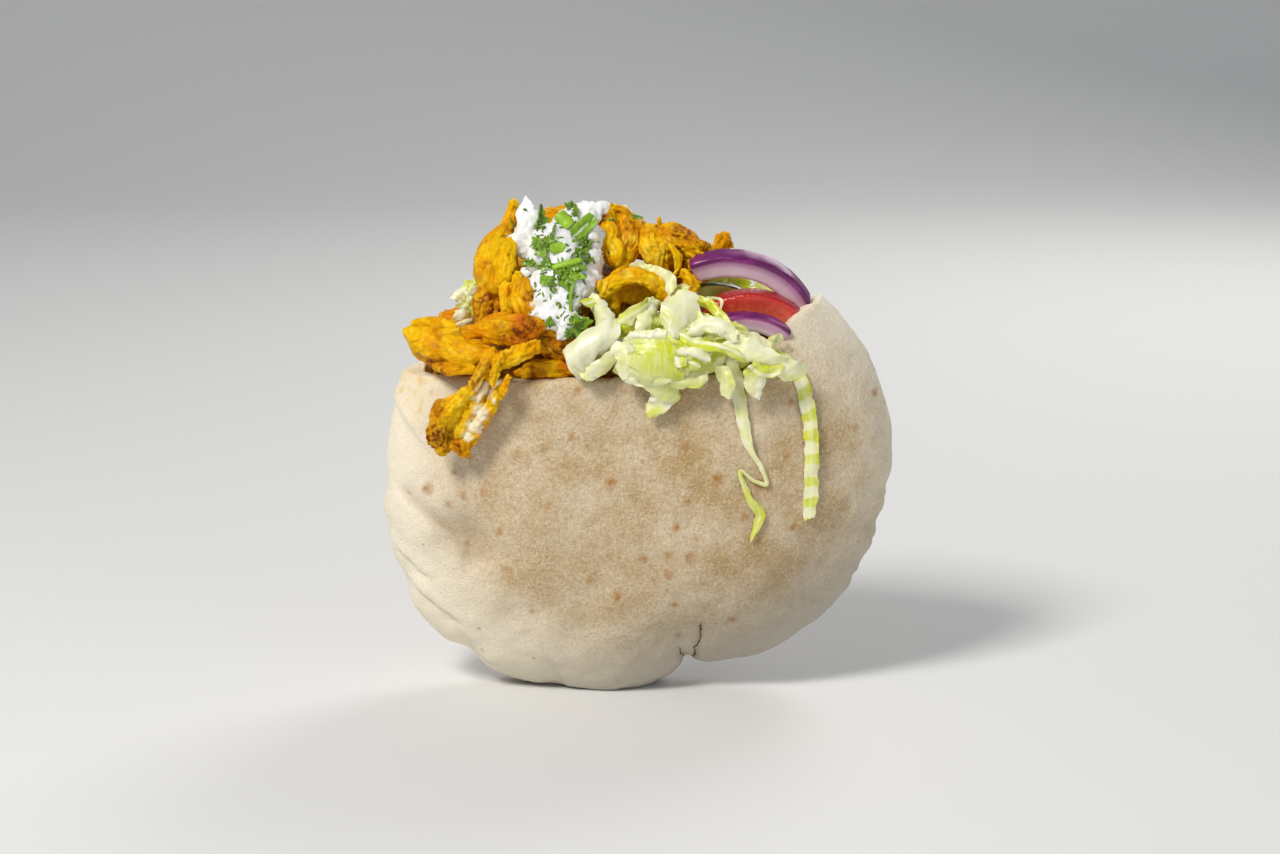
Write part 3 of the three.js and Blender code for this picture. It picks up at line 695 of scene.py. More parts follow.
tornSet = {
    "left_lobe": {
        "strands": [
            [(-75.5, -14, 125.3, 2.5), (-71, -17, 123, 6.4), (-65, -20.5, 121.5, 7.6), (-59, -24, 120.3, 5.8),
             (-53, -27, 119.8, 4.3), (-47.5, -29, 120, 2.6)],
            [(-74, -15, 128.3, 1.5), (-67.5, -18, 128.6, 2.6), (-61, -20.5, 126.2, 2.6),
             (-57.5, -23, 122.5, 1.7)],
            [(-77, -13, 126, 0.6), (-74.5, -14, 125.5, 1.7)],
            [(-70, -21, 117.5, 1.3), (-62, -27, 115.2, 1.8), (-54, -30.5, 115.8, 1.5)],
        ],
        "depth": 0.85, "fibre": 0.26, "grain": 1.2, "lumps": 0.18, "paleAndHighlight": 0.45,
        # the first spot, along its lower side, is partly browning and partly painted shade
        "toast": [(-66, -24, 113.5, 7, 0.9), (-71, -14, 129, 4, 0.5), (-57, -24, 122, 3.5, 0.6),
                  (-72, -21, 118, 3, 0.6)],
    },
    "cross_piece": {
        "strands": [
            [(-60, -19, 126, 1.5), (-52, -23, 127.5, 3.2), (-45.5, -26, 128.5, 4.9),
             (-39.5, -28.5, 128.2, 5.2), (-35, -30, 129.5, 3.9), (-31.5, -30.5, 130.5, 2)],
            [(-47, -27, 131.5, 1.6), (-40, -29.5, 131.8, 2), (-33, -31, 131.6, 1.6)],
            [(-50, -25, 124.5, 1.2), (-43, -29, 125, 2), (-38, -31, 124.5, 1.8)],
        ],
        "depth": 0.8, "fibre": 0.28, "grain": 1.3, "lumps": 0.5, "red": 0.75,
        # the last spot, where it goes under the left lobe, is painted shade
        "toast": [(-39.5, -33, 126.5, 4.5, 1.0), (-36.5, -33, 130, 6, 0.85), (-43, -31, 127.5, 5, 0.6),
                  (-58, -19, 126, 5, 0.5)],
    },
    "hanging_piece": {
        "strands": [
            [(-34, -31.5, 123.5, 2.2), (-40.5, -33.5, 121, 2.9), (-45, -34.5, 119.5, 2.6),
             (-48.5, -34.5, 119.3, 2.2)],
            [(-47.5, -34, 122.5, 1.7), (-49.5, -35, 119, 2.2), (-52.5, -35.5, 114.5, 2),
             (-54.5, -35, 110.5, 2), (-58.5, -34, 106.5, 2.5), (-62, -33, 103, 3.3), (-64.5, -32, 98.5, 3.6),
             (-66, -31, 94, 3.7), (-64, -31, 89.5, 2.2)],
            [(-42, -36, 114.5, 0.9), (-45, -35, 109.5, 1.8), (-48.5, -34, 104, 2.1), (-51.5, -33, 99, 2.2),
             (-55, -32, 94, 2.4), (-59, -31, 89, 1.8)],
            [(-48.5, -33.5, 116, 2.2), (-51.5, -32.5, 109, 3), (-55.5, -31.5, 102, 3.4),
             (-58.5, -30.5, 96, 3.4), (-61, -30, 91, 2.4)],
            [(-61.5, -32, 104.5, 1.2), (-65, -31.5, 105, 1.6), (-67, -31, 101, 1.3)],
            [(-58, -32, 92, 1.8), (-57, -31.5, 88, 1.5)],
            [(-44.5, -36, 121, 1.2), (-47, -36.5, 115.5, 1.5), (-47.5, -36, 112, 0.9)],
        ],
        "depth": 0.62, "fibre": 0.4, "grain": 1.0, "lumps": 1.5, "crumbs": 0.8, "olive": 0.45, "paleAndHighlight": 1.1,
        "frayed": 12,
        "toast": [(-66, -33, 94, 6.5, 1.0), (-65, -32, 103, 4.5, 0.8), (-50, -37, 118, 3, 0.6),
                  (-55, -34, 91, 3, 0.5), (-53, -37, 113, 3.5, 0.6), (-60, -31, 89, 5, 0.7)],
        "white": [(-52.5, -35.5, 107, 2.2), (-56, -33, 94.5, 2.2), (-50, -36, 110, 3.2),
                  (-51.5, -34, 102.5, 3.2), (-53.5, -33.5, 98, 3.2), (-47, -36.5, 106.5, 1.6)],
    },
    "upper_lobe": {
        "strands": [
            [(-42.5, -5, 160, 1.3), (-46.5, -8, 155, 4.6), (-48, -10, 149, 7.1), (-48, -12.5, 144.6, 7.6),
             (-47.6, -14, 142.2, 6.4)],
            [(-42, -11, 155, 1.6), (-43, -15, 149, 2.6), (-43.5, -17, 144, 2.2)],
        ],
        "depth": 0.8, "fibre": 0.24, "grain": 1.3, "lumps": 0.18, "paleAndHighlight": 0.6, "olive": 0.35,
        "toast": [(-43, -17, 141, 3.4, 0.6), (-54, -12, 146, 3.5, 0.35), (-44, -7, 158, 2.5, 0.5)],
    },
    "peak_piece": {
        "strands": [
            [(-42, 0, 165.8, 1.7), (-42, -0.8, 163.5, 2.4), (-43, -1.6, 159.5, 3.1), (-44, -2, 154.5, 4)],
        ],
        "depth": 0.9, "fibre": 0.3, "grain": 1.1, "lumps": 0.5, "toast": [(-43, -4, 157, 3, 0.4)],
    },
    "brown_stub": {
        "strands": [
            [(-49.5, -14, 140, 3), (-50, -15.5, 136.5, 3.8), (-50.5, -17.5, 132.5, 3.7),
             (-51, -18.5, 130, 2.4)],
            [(-46, -15, 139, 1.3), (-45.6, -17.5, 135, 1.8), (-47, -19, 131.5, 1.4)],
        ],
        "depth": 0.85, "fibre": 0.35, "grain": 1.1, "lumps": 0.8, "red": 1.1, "paleAndHighlight": 0.3,
        "toast": [(-50.5, -20, 136, 7.5, 0.95), (-47, -21, 131, 4, 0.7)],
    },
    "flaky_stub": {
        "strands": [
            [(-43.5, -19.5, 142, 1.5), (-44, -22, 137, 1.9), (-43, -24, 132.3, 1.8)],
            [(-39.5, -20, 145, 1.7), (-39, -21, 140, 3.1), (-37.5, -23, 136, 3.3), (-35, -24, 132.5, 2)],
            [(-37, -22, 144, 1), (-35.5, -25, 139, 1.3), (-33.5, -26.5, 134, 1)],
            [(-41, -24, 138, 1), (-39.5, -26, 134.5, 1.3), (-38.5, -26, 131.5, 0.9)],
        ],
        "depth": 0.85, "fibre": 0.45, "grain": 0.9, "lumps": 0.6, "frayed": 9,
        "toast": [(-36, -26, 139, 3, 0.85), (-40, -24, 143, 2.6, 0.6), (-43, -25, 134, 2.5, 0.6)],
        "white": [(-34.5, -26, 136.5, 1.5)],
    },
    "shaded_piece": {
        "strands": [
            [(-35.5, -23, 125.5, 3.2), (-30.5, -24, 124, 4.6), (-26, -24, 122, 4.7), (-20.5, -24, 119.8, 2.6),
             (-15, -24, 121, 2.2)],
            [(-34, -26.5, 127.5, 1.2), (-27, -27.5, 126.5, 1.6), (-20, -27, 123, 1.4)],
        ],
        "depth": 0.8, "fibre": 0.3, "grain": 1.3, "lumps": 0.6, "red": 0.6, "paleAndHighlight": 0.4,
        # its browned spots are partly browning and partly painted shade, as this piece lies in shade
        "toast": [(-28, -28, 124, 8.5, 0.8), (-20, -27, 121, 5, 0.6)],
    },
    "edge_piece": {
        "strands": [
            [(-40, -22.5, 113.2, 1.4), (-35, -24.5, 115.8, 2.2), (-28, -25, 116, 2.5),
             (-20.5, -24.5, 113.8, 1.4)],
            [(-37.5, -23.5, 113, 1.7), (-31.5, -25, 113.5, 2.3), (-25, -24.5, 113, 1.7)],
        ],
        "depth": 0.9, "fibre": 0.32, "grain": 1.1, "lumps": 0.5, "red": 0.9, "paleAndHighlight": 0.5,
        "toast": [(-33.5, -28, 113.5, 5, 0.85), (-38, -25, 115, 3, 0.6), (-26, -28, 115, 2.5, 0.5)],
    },
    "right_top": {
        "strands": [
            [(-7.5, -1, 162, 3), (-7.5, -4, 156, 6.2), (-7.5, -6, 151, 5.2)],
            [(-10.5, -4, 163.4, 2.2), (-10.5, -7, 158.5, 4.6), (-9.5, -9, 154, 4.8), (-8.5, -10, 150, 3.6)],
            [(-5, -2, 162.5, 2.2), (-3.6, -5, 158, 3.6), (-4, -8, 152.5, 4.1), (-6, -10.5, 148, 3)],
            [(-4.5, -6, 161, 0.9), (-1.6, -7.5, 157, 1.3), (-1.2, -9, 153, 1)],
            [(-12, -3, 162.5, 1), (-8.5, -4, 165, 1.3), (-5, -3.5, 164, 1.1), (-3, -4, 161, 0.8)],
            [(-10, -11, 157, 0.9), (-6.5, -13, 153.5, 1.6), (-6.5, -13, 149, 1)],
        ],
        "depth": 0.85, "fibre": 0.55, "grain": 0.9, "lumps": 0.5, "paleAndHighlight": 1.1, "frayed": 16,
        "cut": [(-8.5, -12, 153, 3), (-2, -9, 155, 2.2)],
        "toast": [(-12.5, -6, 161, 3.6, 0.75), (-3, -7, 159, 3.4, 0.6), (-5, -10, 154.5, 2.6, 0.4)],
    },
    "pale_bit": {
        "strands": [
            [(-5.5, 0, 161, 1.3), (-1.5, -0.5, 159.2, 2.4), (3, -1, 156, 1.9)],
            [(-2, -1.5, 161, 0.7), (1.5, -2.5, 158.5, 1.1), (2.5, -2.5, 155.5, 0.7)],
        ],
        "depth": 0.9, "fibre": 0.4, "grain": 0.9, "lumps": 0.5, "toast": [(2, -3, 158, 1.6, 0.5)],
        "white": [(-1, -2.6, 159.6, 1.9), (1.6, -2.8, 157, 1.3)],
    },
    "right_big": {
        "strands": [
            [(3, -4, 154, 5), (8, -5.5, 151.5, 6), (13, -4, 151, 5)],
            [(3, -5, 157, 3.2), (4.2, -8, 153.4, 5), (5, -9.5, 149, 4.7), (6.5, -10, 145, 2.7)],
            [(4, -5, 157.3, 2.2), (10, -6.6, 156.8, 3.6), (16.5, -6.8, 153.8, 3.7), (23, -6, 150.4, 2.2)],
            [(20, -6.5, 151, 3.2), (17.5, -7, 146, 3.2), (16, -8, 141, 1.9)],
            [(10, -1.5, 150, 6), (18, -1, 148, 6), (24, -2, 149, 4)],
            [(9, -11.5, 154, 0.9), (12, -12.5, 150.5, 1.5), (12.4, -12.5, 147, 1.2), (11, -12.5, 143.5, 0.8)],
            [(9.5, -10.5, 155.6, 1), (15.5, -11.2, 153.6, 1.3), (20.5, -10.2, 150, 1.1)],
            [(14, -10.4, 152.6, 0.9), (17.4, -10.4, 149.5, 1.2), (16.6, -10.4, 145.5, 1)],
            [(5.5, -6.5, 157.5, 0.9), (6.6, -5.5, 161.8, 0.55)],
        ],
        # the pale tint is laid strong here, partly to paint light on it
        "depth": 0.85, "fibre": 0.55, "grain": 0.85, "lumps": 0.45, "paleAndHighlight": 1.2, "frayed": 20,
        "cut": [(4.5, -11, 151, 5.5), (10, -12.5, 148, 2.5)],
        "toast": [(14, -9, 157.5, 5, 0.8), (22, -7, 152, 3.5, 0.6), (6, -8, 159.5, 3, 0.5),
                  (14, -6, 147, 4.5, 0.6)],
    },
    "far_knob": {
        "strands": [
            [(26, 1, 149.5, 2.4), (27, 1, 152.3, 2.9), (27.8, 1, 154.6, 1.9)],
            [(25.3, 0, 152, 1), (26, -0.6, 155, 1.2)],
            [(29, 0.5, 151, 1.1), (29.4, 0, 154, 1.1)],
        ],
        "depth": 1, "fibre": 0.4, "grain": 1.0, "lumps": 0.9, "toast": [(29, -1, 154, 1.8, 0.5)],
    },
    "ring_piece": {
        "strands": [
            [(-11.5, -20, 138.6, 2), (-9.3, -21, 142, 2.7), (-4.5, -21.5, 144.6, 2.8),
             (0.5, -21.5, 144.8, 2.8), (4.8, -21.5, 142.3, 2.7), (7.6, -21, 137.5, 2.3),
             (8.3, -20, 134, 1.6)],
            [(-12, -19.5, 140.5, 1.8), (-9.2, -18.8, 138.5, 2.3), (-8, -17.5, 134, 2)],
            [(-8, -14.5, 139, 3.6), (-2, -13.5, 138.5, 4.6), (4.5, -14.5, 137, 3.6)],
            [(-13.3, -20.5, 140.5, 0.9), (-12.5, -21.5, 143.3, 0.9)],
            [(6, -19.5, 141, 1.6), (9.6, -18.5, 138, 1.7)],
        ],
        # the pale tint is laid strong here to paint light on a piece that lies in shade
        "depth": 0.95, "fibre": 0.5, "grain": 0.85, "lumps": 0.6, "crimp": 0.12, "paleAndHighlight": 1.5, "frayed": 14,
        "cut": [(-4, -24, 146, 2.5), (-11, -22.5, 142, 2.5), (4, -24, 144, 2)],
        "toast": [(-2, -16, 139.5, 5.5, 0.45), (5, -24, 142, 2.6, 0.5), (-6, -23, 146.5, 2, 0.6)],
    },
    "small_bit": {
        "strands": [
            [(14.5, -13, 144.6, 1.6), (16.5, -14, 142, 2.5), (17, -16, 138.6, 1.8)],
            [(17, -14, 143.6, 1), (18.6, -15.5, 140.6, 1.3)],
        ],
        "depth": 0.9, "fibre": 0.4, "grain": 1.0, "lumps": 0.7, "toast": [(16, -16, 141, 1.8, 0.5)],
    },
    "lower_bit": {
        "strands": [
            [(18, -22, 118.4, 2), (23.5, -22.6, 117.6, 3.2), (28.5, -22, 117.6, 2.2)],
        ],
        "depth": 0.9, "fibre": 0.3, "grain": 1.2, "lumps": 0.5, "red": 0.3,
        "toast": [(22, -25, 116, 2.5, 0.5)],
    },
}

# The pieces behind, which the front hides: ends, bow and width, and each gets its strands by a rule.
behindSet = {
    "left_end": ((-68, -3, 114), (-57, 5, 123), (0, 0, 1), (14, 13)),
    "back_left_low": ((-70, 9, 120), (-41, 21, 122), (0, 2, 2), (14, 17)),
    "back_left_high": ((-58, 8, 131), (-36, 15, 140), (0, 2, 1), (13, 18)),
    "back_top": ((-39, 8, 152), (-12, 10, 155), (0, 1, 3), (17, 16)),
    "back_middle_low": ((-44, 21, 128), (-13, 25, 122), (0, 2, 3), (15, 15)),
    "back_middle_high": ((-32, 16, 140), (-4, 17, 143), (0, 2, 2), (16, 17)),
    "back_right_low": ((-13, 23, 129), (15, 21, 130), (0, 2, 2), (15, 16)),
    "back_right_high": ((-6, 10, 152), (22, 10, 144), (0, 1, 2), (14, 15)),
    "back_right_end": ((8, 14, 141), (25, 13, 134), (0, 1, 2), (11, 10)),
}
behindUsual = {"depth": 0.9, "fibre": 0.45, "grain": 1.2, "lumps": 1.1, "strands": 7, "stops": 4, "spots": 4}
# the fineness of their skins, and the seeds of their noise and of what is drawn for those behind
tornMaking = {"frontVoxel": 0.42, "behindVoxel": 0.6, "frontSeed": 100, "behindSeed": 200, "drawSeed": 500}


def tornFinish():
    finish = Finish("torn spiced piece", 0.5, 0.22, (0.1, 0.0012, (1.0, 0.75, 0.08)), (0.04, 0.25),
                    [("Specular Tint", (1.0, 0.8, 0.25, 1))])
    toast = finish.mark("toast")
    patches = finish.mask(mottle, Size=7, Start=0.4, Soft=0.2, Detail=4, Shift=2.2)
    small = finish.mask(mottle, Size=1.5, Start=0.4, Soft=0.22, Detail=5, Shift=7.7)
    dots = finish.mask(specks, Spacing=2.6, Radius=0.34, Kept=0.3, Ragged=0.2)
    crumb = finish.noise(1000 / 0.55, 4)
    finish.layers((254, 204, 6), [
        (patches, 1, (240, 168, 0)),
        (small, 0.3, (214, 132, 0)),
        # paler yellow: a painted highlight on the raised fibres and lumps, and the paler flesh of the cut
        # faces
        (finish.mark("paleAndHighlight"), 0.75, (255, 220, 60)),
        # painted shade: darker brown in the grooves between fibres
        (finish.mark("groove"), 0.6, (160, 86, 0)),
        (finish.mark("olive"), 0.8, (206, 168, 10)),
        (finish.mark("red"), finish.ramp(patches, 0, 1, 0.6, 1), (222, 108, 10)),
        (toast, finish.ramp(small, 0, 1, 0.45, 1.15), (160, 80, 12)),
        (finish.times(finish.ramp(toast, 0.55, 1.1), small), 0.75, (78, 38, 12)),
        (dots, 0.7, (122, 66, 8)),
        (finish.mark("white"), finish.ramp(small, 0, 1, 1.0, 0.6), (248, 242, 216)),
    ])
    finish.feed("Roughness", finish.ramp(crumb, 0.3, 0.7, 0.38, 0.66))
    grain = addNode(finish.tree, "ShaderNodeAttribute", attribute_name="grain").outputs["Vector"]
    under = finish.bump(finish.noise(2.6, 4, where=grain), 0.7, 0.6)
    finish.bump(crumb, 0.6, 0.3, under)
    return finish.material


def strandLoft(stops, depth, lumps, seed, count=22):
    # the closed strand, and for each step along it: its place, the three directions there and its half width
    stops = np.array(stops, float)
    line = curveThrough(stops[:, :3], count)
    run = np.concatenate([[0], np.cumsum(np.linalg.norm(np.diff(stops[:, :3], axis=0), axis=1))])
    halves = np.interp(np.linspace(0, 1, count), run / run[-1], stops[:, 3])
    halves = halves * (1 + 0.16 * lumps * noiseAt(line, 4.5, seed))
    line = line + (0.3 * lumps * halves * noiseAt(line, 7, seed + 1))[:, None] * [0.6, 0.5, 0.8]
    along, across, face = framesAlong(line)
    spin = 0.5 * noiseAt(line, 14, seed + 2)[:, None]
    across, face = across * np.cos(spin) + face * np.sin(spin), face * np.cos(spin) - across * np.sin(spin)
    rounds = np.radians([18, 45, 70])
    near = line[0] - along[0] * halves[0] * np.cos(rounds)[:, None]
    far = line[-1] + along[-1] * halves[-1] * np.cos(rounds[::-1])[:, None]
    middles = np.concatenate([near, line, far])
    widths = np.concatenate([halves[0] * np.sin(rounds), halves, halves[-1] * np.sin(rounds[::-1])])
    spread = [0] * 3 + list(range(count)) + [count - 1] * 3
    # the section has blunt corners that wander along the strand
    turns = turnsOf(16)
    wander = 2.5 * noiseAt(middles, 16, seed + 3)[:, None]
    corners = 0.13 * np.sin(3 * turns + seed + wander) + 0.09 * np.sin(5 * turns + 2 * seed - wander)
    loft = roundLoft(middles, across[spread], face[spread], widths, widths * depth, 16, 1 + lumps * corners)
    return loft, np.concatenate([line, along, across, face, halves[:, None]], 1)


def strandsBehind(piece, draw):
    # a bundle of strands that fills the piece's solid, with uneven ends
    (start, end, bow, (head, tail)) = piece
    start, end, bow = (np.array(v, float) for v in (start, end, bow))
    strands = []
    for k in range(behindUsual["strands"]):
        turn = k * 2.4 + draw.uniform(-0.4, 0.4)
        out = 0 if k == 0 else 0.62
        first, last = (0.1, 0.9) if k == 0 else (draw.uniform(0, 0.25), draw.uniform(0.76, 1))
        stops = []
        for u in np.linspace(first, last, behindUsual["stops"]):
            middle = start + (end - start) * u + bow * 4 * u * (1 - u)
            half = (head + (tail - head) * u) / 2 * (0.66 + 0.34 * math.sin(math.pi * min(max(u, 0.1), 0.9)))
            swing = turn + 1.4 * u
            stray = half * out * 0.85 * np.array([0.15 * math.cos(swing), math.cos(swing), math.sin(swing)])
            thick = half * (0.7 if k == 0 else draw.uniform(0.3, 0.52))
            stops.append((*(middle + stray), thick))
        strands.append(stops)
    return strands


def looseFibre(axes, depth, draw, seed):
    # a short fibre that stands off one of the strands
    axis = axes[draw.integers(len(axes))]
    row = axis[draw.integers(2, len(axis) - 2)]
    turn = draw.uniform(0, 2 * math.pi)
    out = row[6:9] * math.cos(turn) + row[9:12] * math.sin(turn)
    way = unit(row[3:6] * draw.choice([-1, 1]) + out * draw.uniform(0.15, 0.7))
    root = row[:3] + out * row[12] * depth * 0.85
    length = draw.uniform(1.6, 4.0)
    stops = [(*(root + way * length * t), 0.52 - 0.2 * t) for t in (0, 0.5, 1)]
    return strandLoft(stops, 0.9, 0.5, seed * 31, 6)[0]


def alongGrain(points, axes, seed):
    # how far each point lies along the nearest strand, across it and towards its face, plainly and warped
    gaps = np.linalg.norm(points[:, None] - axes[None, :, :3], axis=2) / axes[None, :, 12]
    near = axes[np.argmin(gaps, 1)]
    offset = points - near[:, :3]
    run = near[:, 13] + (offset * near[:, 3:6]).sum(1)
    grainAt = np.stack([run, (offset * near[:, 6:9]).sum(1), (offset * near[:, 9:12]).sum(1)], 1)
    warp = np.stack([noiseAt(points, 6, seed + k) for k in range(3)], 1)
    return run, grainAt + warp * [2.5, 1.6, 1.6] + near[:, 14:15] * 5.3


def nearSpots(points, spots, ragged, outer, inner):
    # how strongly each point is in one of the spots, which fade between two shares of their radius
    share = np.zeros(len(points))
    for x, y, z, radius, *strength in spots:
        away = np.linalg.norm(points - [x, y, z], axis=1) + ragged
        share = np.maximum(share, (strength or [1])[0] * smooth(-away, -outer * radius, -inner * radius))
    return share


def makeTorn(name, given, finish, voxel, seed):
    settings = {**tornUsual, **given}
    draw = np.random.default_rng(seed)
    lofts, axes = [], []
    for k, stops in enumerate(settings["strands"]):
        loft, axis = strandLoft(stops, settings["depth"], 1.0, seed * 17 + k * 3)
        lofts.append(loft)
        run = np.arange(len(axis)) * np.linalg.norm(axis[1, :3] - axis[0, :3])
        axes.append(np.column_stack([axis, run, np.full(len(axis), k)]))
    lofts += [looseFibre(axes, settings["depth"], draw, seed) for _ in range(settings["frayed"])]
    points, faces = skinned(lofts, voxel)
    points = relaxed(points, faces)
    normals = normalsOf(points, faces)
    run, grainAt = alongGrain(points, np.concatenate(axes), seed)
    wide = settings["grain"]
    fine = noiseAt(grainAt, (9.0, wide, wide), seed + 5)
    coarse = noiseAt(grainAt, (6.5, 2.7 * wide, 2.7 * wide), seed + 6)
    groove = 1 - smooth(np.abs(coarse), 0, 0.2)
    lumpy = 0.5 * noiseAt(points, 3.4, seed + 7) + 0.45 * noiseAt(points, 1.4, seed + 8)
    lumpy = lumpy + 1.9 * np.abs(noiseAt(grainAt, (3.6, 2.1, 2.1), seed + 20)) - 0.6
    lumpy = lumpy + settings["crumbs"] * (1 - 2.4 * np.abs(noiseAt(points, 1.9, seed + 19)))
    crimp = settings["crimp"] * np.cos(run * 1.7 + 7 * noiseAt(points, 6, seed + 9))
    lift = settings["fibre"] * (fine + 0.2 - 0.85 * groove) + 0.35 * settings["lumps"] * lumpy + crimp
    toast = nearSpots(points, settings["toast"], 0, 1.25, 0.4)
    toast = toast * (1.0 + 0.7 * layeredNoise(points, 2.6, 3, seed + 11))
    toast = toast + 0.28 * smooth(layeredNoise(points, 5, 3, seed + 12), 0.3, 0.8)
    # paler on the raised fibres and lumps, which is a painted highlight; the cut faces below are paler flesh
    paleAndHighlight = settings["paleAndHighlight"] * smooth(fine + 0.6 * lumpy, -0.05, 0.5)
    paleAndHighlight = paleAndHighlight * smooth(noiseAt(points, 7, seed + 14), -0.35, 0.35)
    cut = nearSpots(points, settings["cut"], 0.8 * noiseAt(points, 2.2, seed + 22), 1.15, 0.5)
    white = nearSpots(points, settings["white"], 0.8 * noiseAt(points, 1.6, seed + 15), 1.15, 0.45)
    crust = np.clip(toast, 0, 1) * (0.5 * noiseAt(points, 1.5, seed + 16) + 0.1)
    points = points + normals * (lift * (1 - 0.6 * white) + 0.8 * crust + 0.35 * white)[:, None]
    marks = {
        "toast": np.clip(toast * (1 - white), 0, 1), "white": white,
        "paleAndHighlight": np.maximum(paleAndHighlight, 1.3 * cut * smooth(fine, -0.5, 0.2)),
        # painted shade, darker in the grooves between fibres
        "groove": np.clip(groove * smooth(noiseAt(points, 4, seed + 21), -0.2, 0.5) - 0.35 * lumpy, 0, 1),
        "red": settings["red"] * smooth(noiseAt(points, 9, seed + 17), -0.4, 0.4),
        "olive": settings["olive"] * smooth(noiseAt(points, 6, seed + 18), -0.3, 0.5),
    }
    piece = makePiece(name + "_torn", points, faces, finish, [name], marks)
    grain = piece.data.attributes.new("grain", "FLOAT_VECTOR", "POINT")
    grain.data.foreach_set("vector", np.ascontiguousarray(grainAt / [4.0, 1, 1], np.float32).ravel())
    return piece


def makeAllTorn():
    finish, making = tornFinish(), tornMaking
    pieces = []
    for k, (name, settings) in enumerate(tornSet.items()):
        pieces.append(makeTorn(name, settings, finish, making["frontVoxel"], making["frontSeed"] + k))
    for k, (name, ends) in enumerate(behindSet.items()):
        draw = np.random.default_rng(making["drawSeed"] + k)
        strands = strandsBehind(ends, draw)
        settings = {**behindUsual, "strands": strands, "red": draw.uniform(0, 0.5)}
        settings["paleAndHighlight"] = draw.uniform(0.5, 1.1)
        picked = [strands[draw.integers(len(strands))][draw.integers(behindUsual["stops"])]
                  for _ in range(behindUsual["spots"])]
        settings["toast"] = [(at[0], at[1] + 4, at[2] + 3, 5, 0.8) for at in picked]
        pieces.append(makeTorn(name, settings, finish, making["behindVoxel"], making["behindSeed"] + k))
    return sum(len(piece.data.polygons) for piece in pieces)


print("torn pieces:", makeAllTorn(), "faces")


# The sauce: blobs and one leaning peak that run together, with chopped herbs laid on them

sauceSet = {
    "peak": [(-37.5, -4, 169, 0.7), (-37, -5, 166, 2.6), (-36.8, -6.5, 161.5, 4.2), (-37, -8, 156.5, 4.9),
             (-38, -9, 152.5, 3.6)],
    # place and radius
    "blobs": [
        (-27.5, -12, 156, 6.2), (-23, -9, 160, 5.8), (-18, -6, 162, 5.4), (-13, -4, 164, 3.4),
        (-17, -12, 156, 5.6), (-31.5, -16, 150.5, 5.6), (-26, -16, 149.5, 7.8), (-17.5, -14, 149.5, 5.6),
        (-15, -14, 147.5, 3), (-28.5, -20, 142.5, 7), (-21.5, -19, 143, 7), (-16, -16, 143, 4.4),
        (-30.5, -23, 137, 5.2), (-24, -22, 138, 6), (-17, -18, 138.5, 4), (-34, -27, 133, 2.4),
        (-28.5, -27, 132.5, 4.2), (-23.5, -27, 131.5, 4.2), (-25, -28.5, 128, 2.8), (-26.5, -29.5, 126, 1.1),
        (-40.5, -18.5, 142, 1.6), (-37.5, -17, 145, 2.2), (-35.5, -20, 141, 3.2), (-41, -9, 155, 2.4),
        (-43.5, -9, 154.5, 1.4), (-33, -11, 153, 4.5), (-20, -27.5, 131, 2.2), (-32, -27, 130.5, 1.8),
    ],
    "voxel": 0.45,
}
# place as seen from the front (x and z), length, width, turn in degrees, kind, and from dark 0 to bright 1,
# which is partly the bit's own green and partly painted highlight
herbSet = [
    (-22.3, 168.4, 4.4, 3.2, 30, "leaf", 0.35), (-19, 169.3, 2.6, 2.3, 80, "leaf", 0.2),
    (-20.8, 165.2, 5.3, 1.5, 85, "blade", 0.3), (-32.3, 163.7, 6.4, 3.6, 80, "leaf", 0.12),
    (-32.9, 160.5, 3.5, 2.3, -30, "leaf", 0.2), (-28.6, 162.9, 6.4, 3.5, 40, "curl", 0.95),
    (-24.5, 163.1, 4.7, 3.6, -50, "curl", 0.8), (-17.9, 160.8, 7.6, 4.3, 45, "flat", 0.3),
    (-18.8, 157, 3.5, 2.6, 20, "leaf", 0.25), (-29.3, 158.2, 6.4, 1.1, 62, "stem", 0.2),
    (-31.5, 154.5, 6.4, 5.3, 20, "leaf", 0.3), (-26.9, 154, 3.8, 2.6, 10, "curl", 0.7),
    (-29.5, 155.5, 4.1, 2.3, 70, "leaf", 0.35), (-17.3, 155.2, 4.4, 2.3, 80, "leaf", 0.2),
    (-19.9, 152.3, 5, 2.6, 30, "leaf", 0.3), (-35.7, 149.1, 4.4, 2.1, -5, "leaf", 0.4),
    (-29.5, 148.2, 4.7, 3.2, -20, "leaf", 0.2), (-23.7, 148.9, 7, 2.7, 14, "ring", 0.85),
    (-25.8, 147, 3.5, 2.6, 0, "leaf", 0.4), (-22.3, 145.9, 7, 4.7, 10, "leaf", 0.4),
    (-25.5, 143.5, 5.8, 3.5, -30, "leaf", 0.35), (-30.7, 143.4, 2.8, 2.5, 0, "flat", 0.55),
    (-28.4, 142.6, 2.9, 2.3, 40, "leaf", 0.2), (-21.9, 138.8, 9.9, 1.3, 79, "stem", 0.45),
    (-16.8, 150, 3.5, 1.3, 70, "leaf", 0.15), (-19.6, 133.8, 3.5, 2.3, -40, "leaf", 0.12),
    (-29.6, 129.6, 2.7, 3, 90, "leaf", 0.35), (-20, 128.8, 6.4, 4.7, 20, "leaf", 0.4),
    (-20.9, 126.4, 5.3, 4.1, -30, "leaf", 0.35), (-15.4, 126.3, 4.1, 1.9, -15, "leaf", 0.3),
    (-41.1, 161.5, 4.6, 0.5, -72, "stem", 0.1), (-11.2, 163.9, 6.4, 0.6, -5, "stem", 0.1),
    (-2, 164.2, 5, 1.1, -5, "blade", 0.3),
]
# how much larger a leaf and the others are laid, how many small leaves go round a larger one, and the flecks
herbUsual = {"seed": 21, "thick": 0.4, "leafGrown": 1.35, "grown": 1.08, "smallLeaves": 3, "flecks": 95,
             "fleckSeed": 8, "fleckLength": 1.6}
# the camera, through which the herbs' places were read: lens and sensor in millimetres, how far it looks down
# in degrees, its distance in metres, and the place that it looks at
cameraSet = {"lens": 85, "sensor": 36, "elevation": 12, "distance": 1.01337, "target": (0, 0, 90.4)}


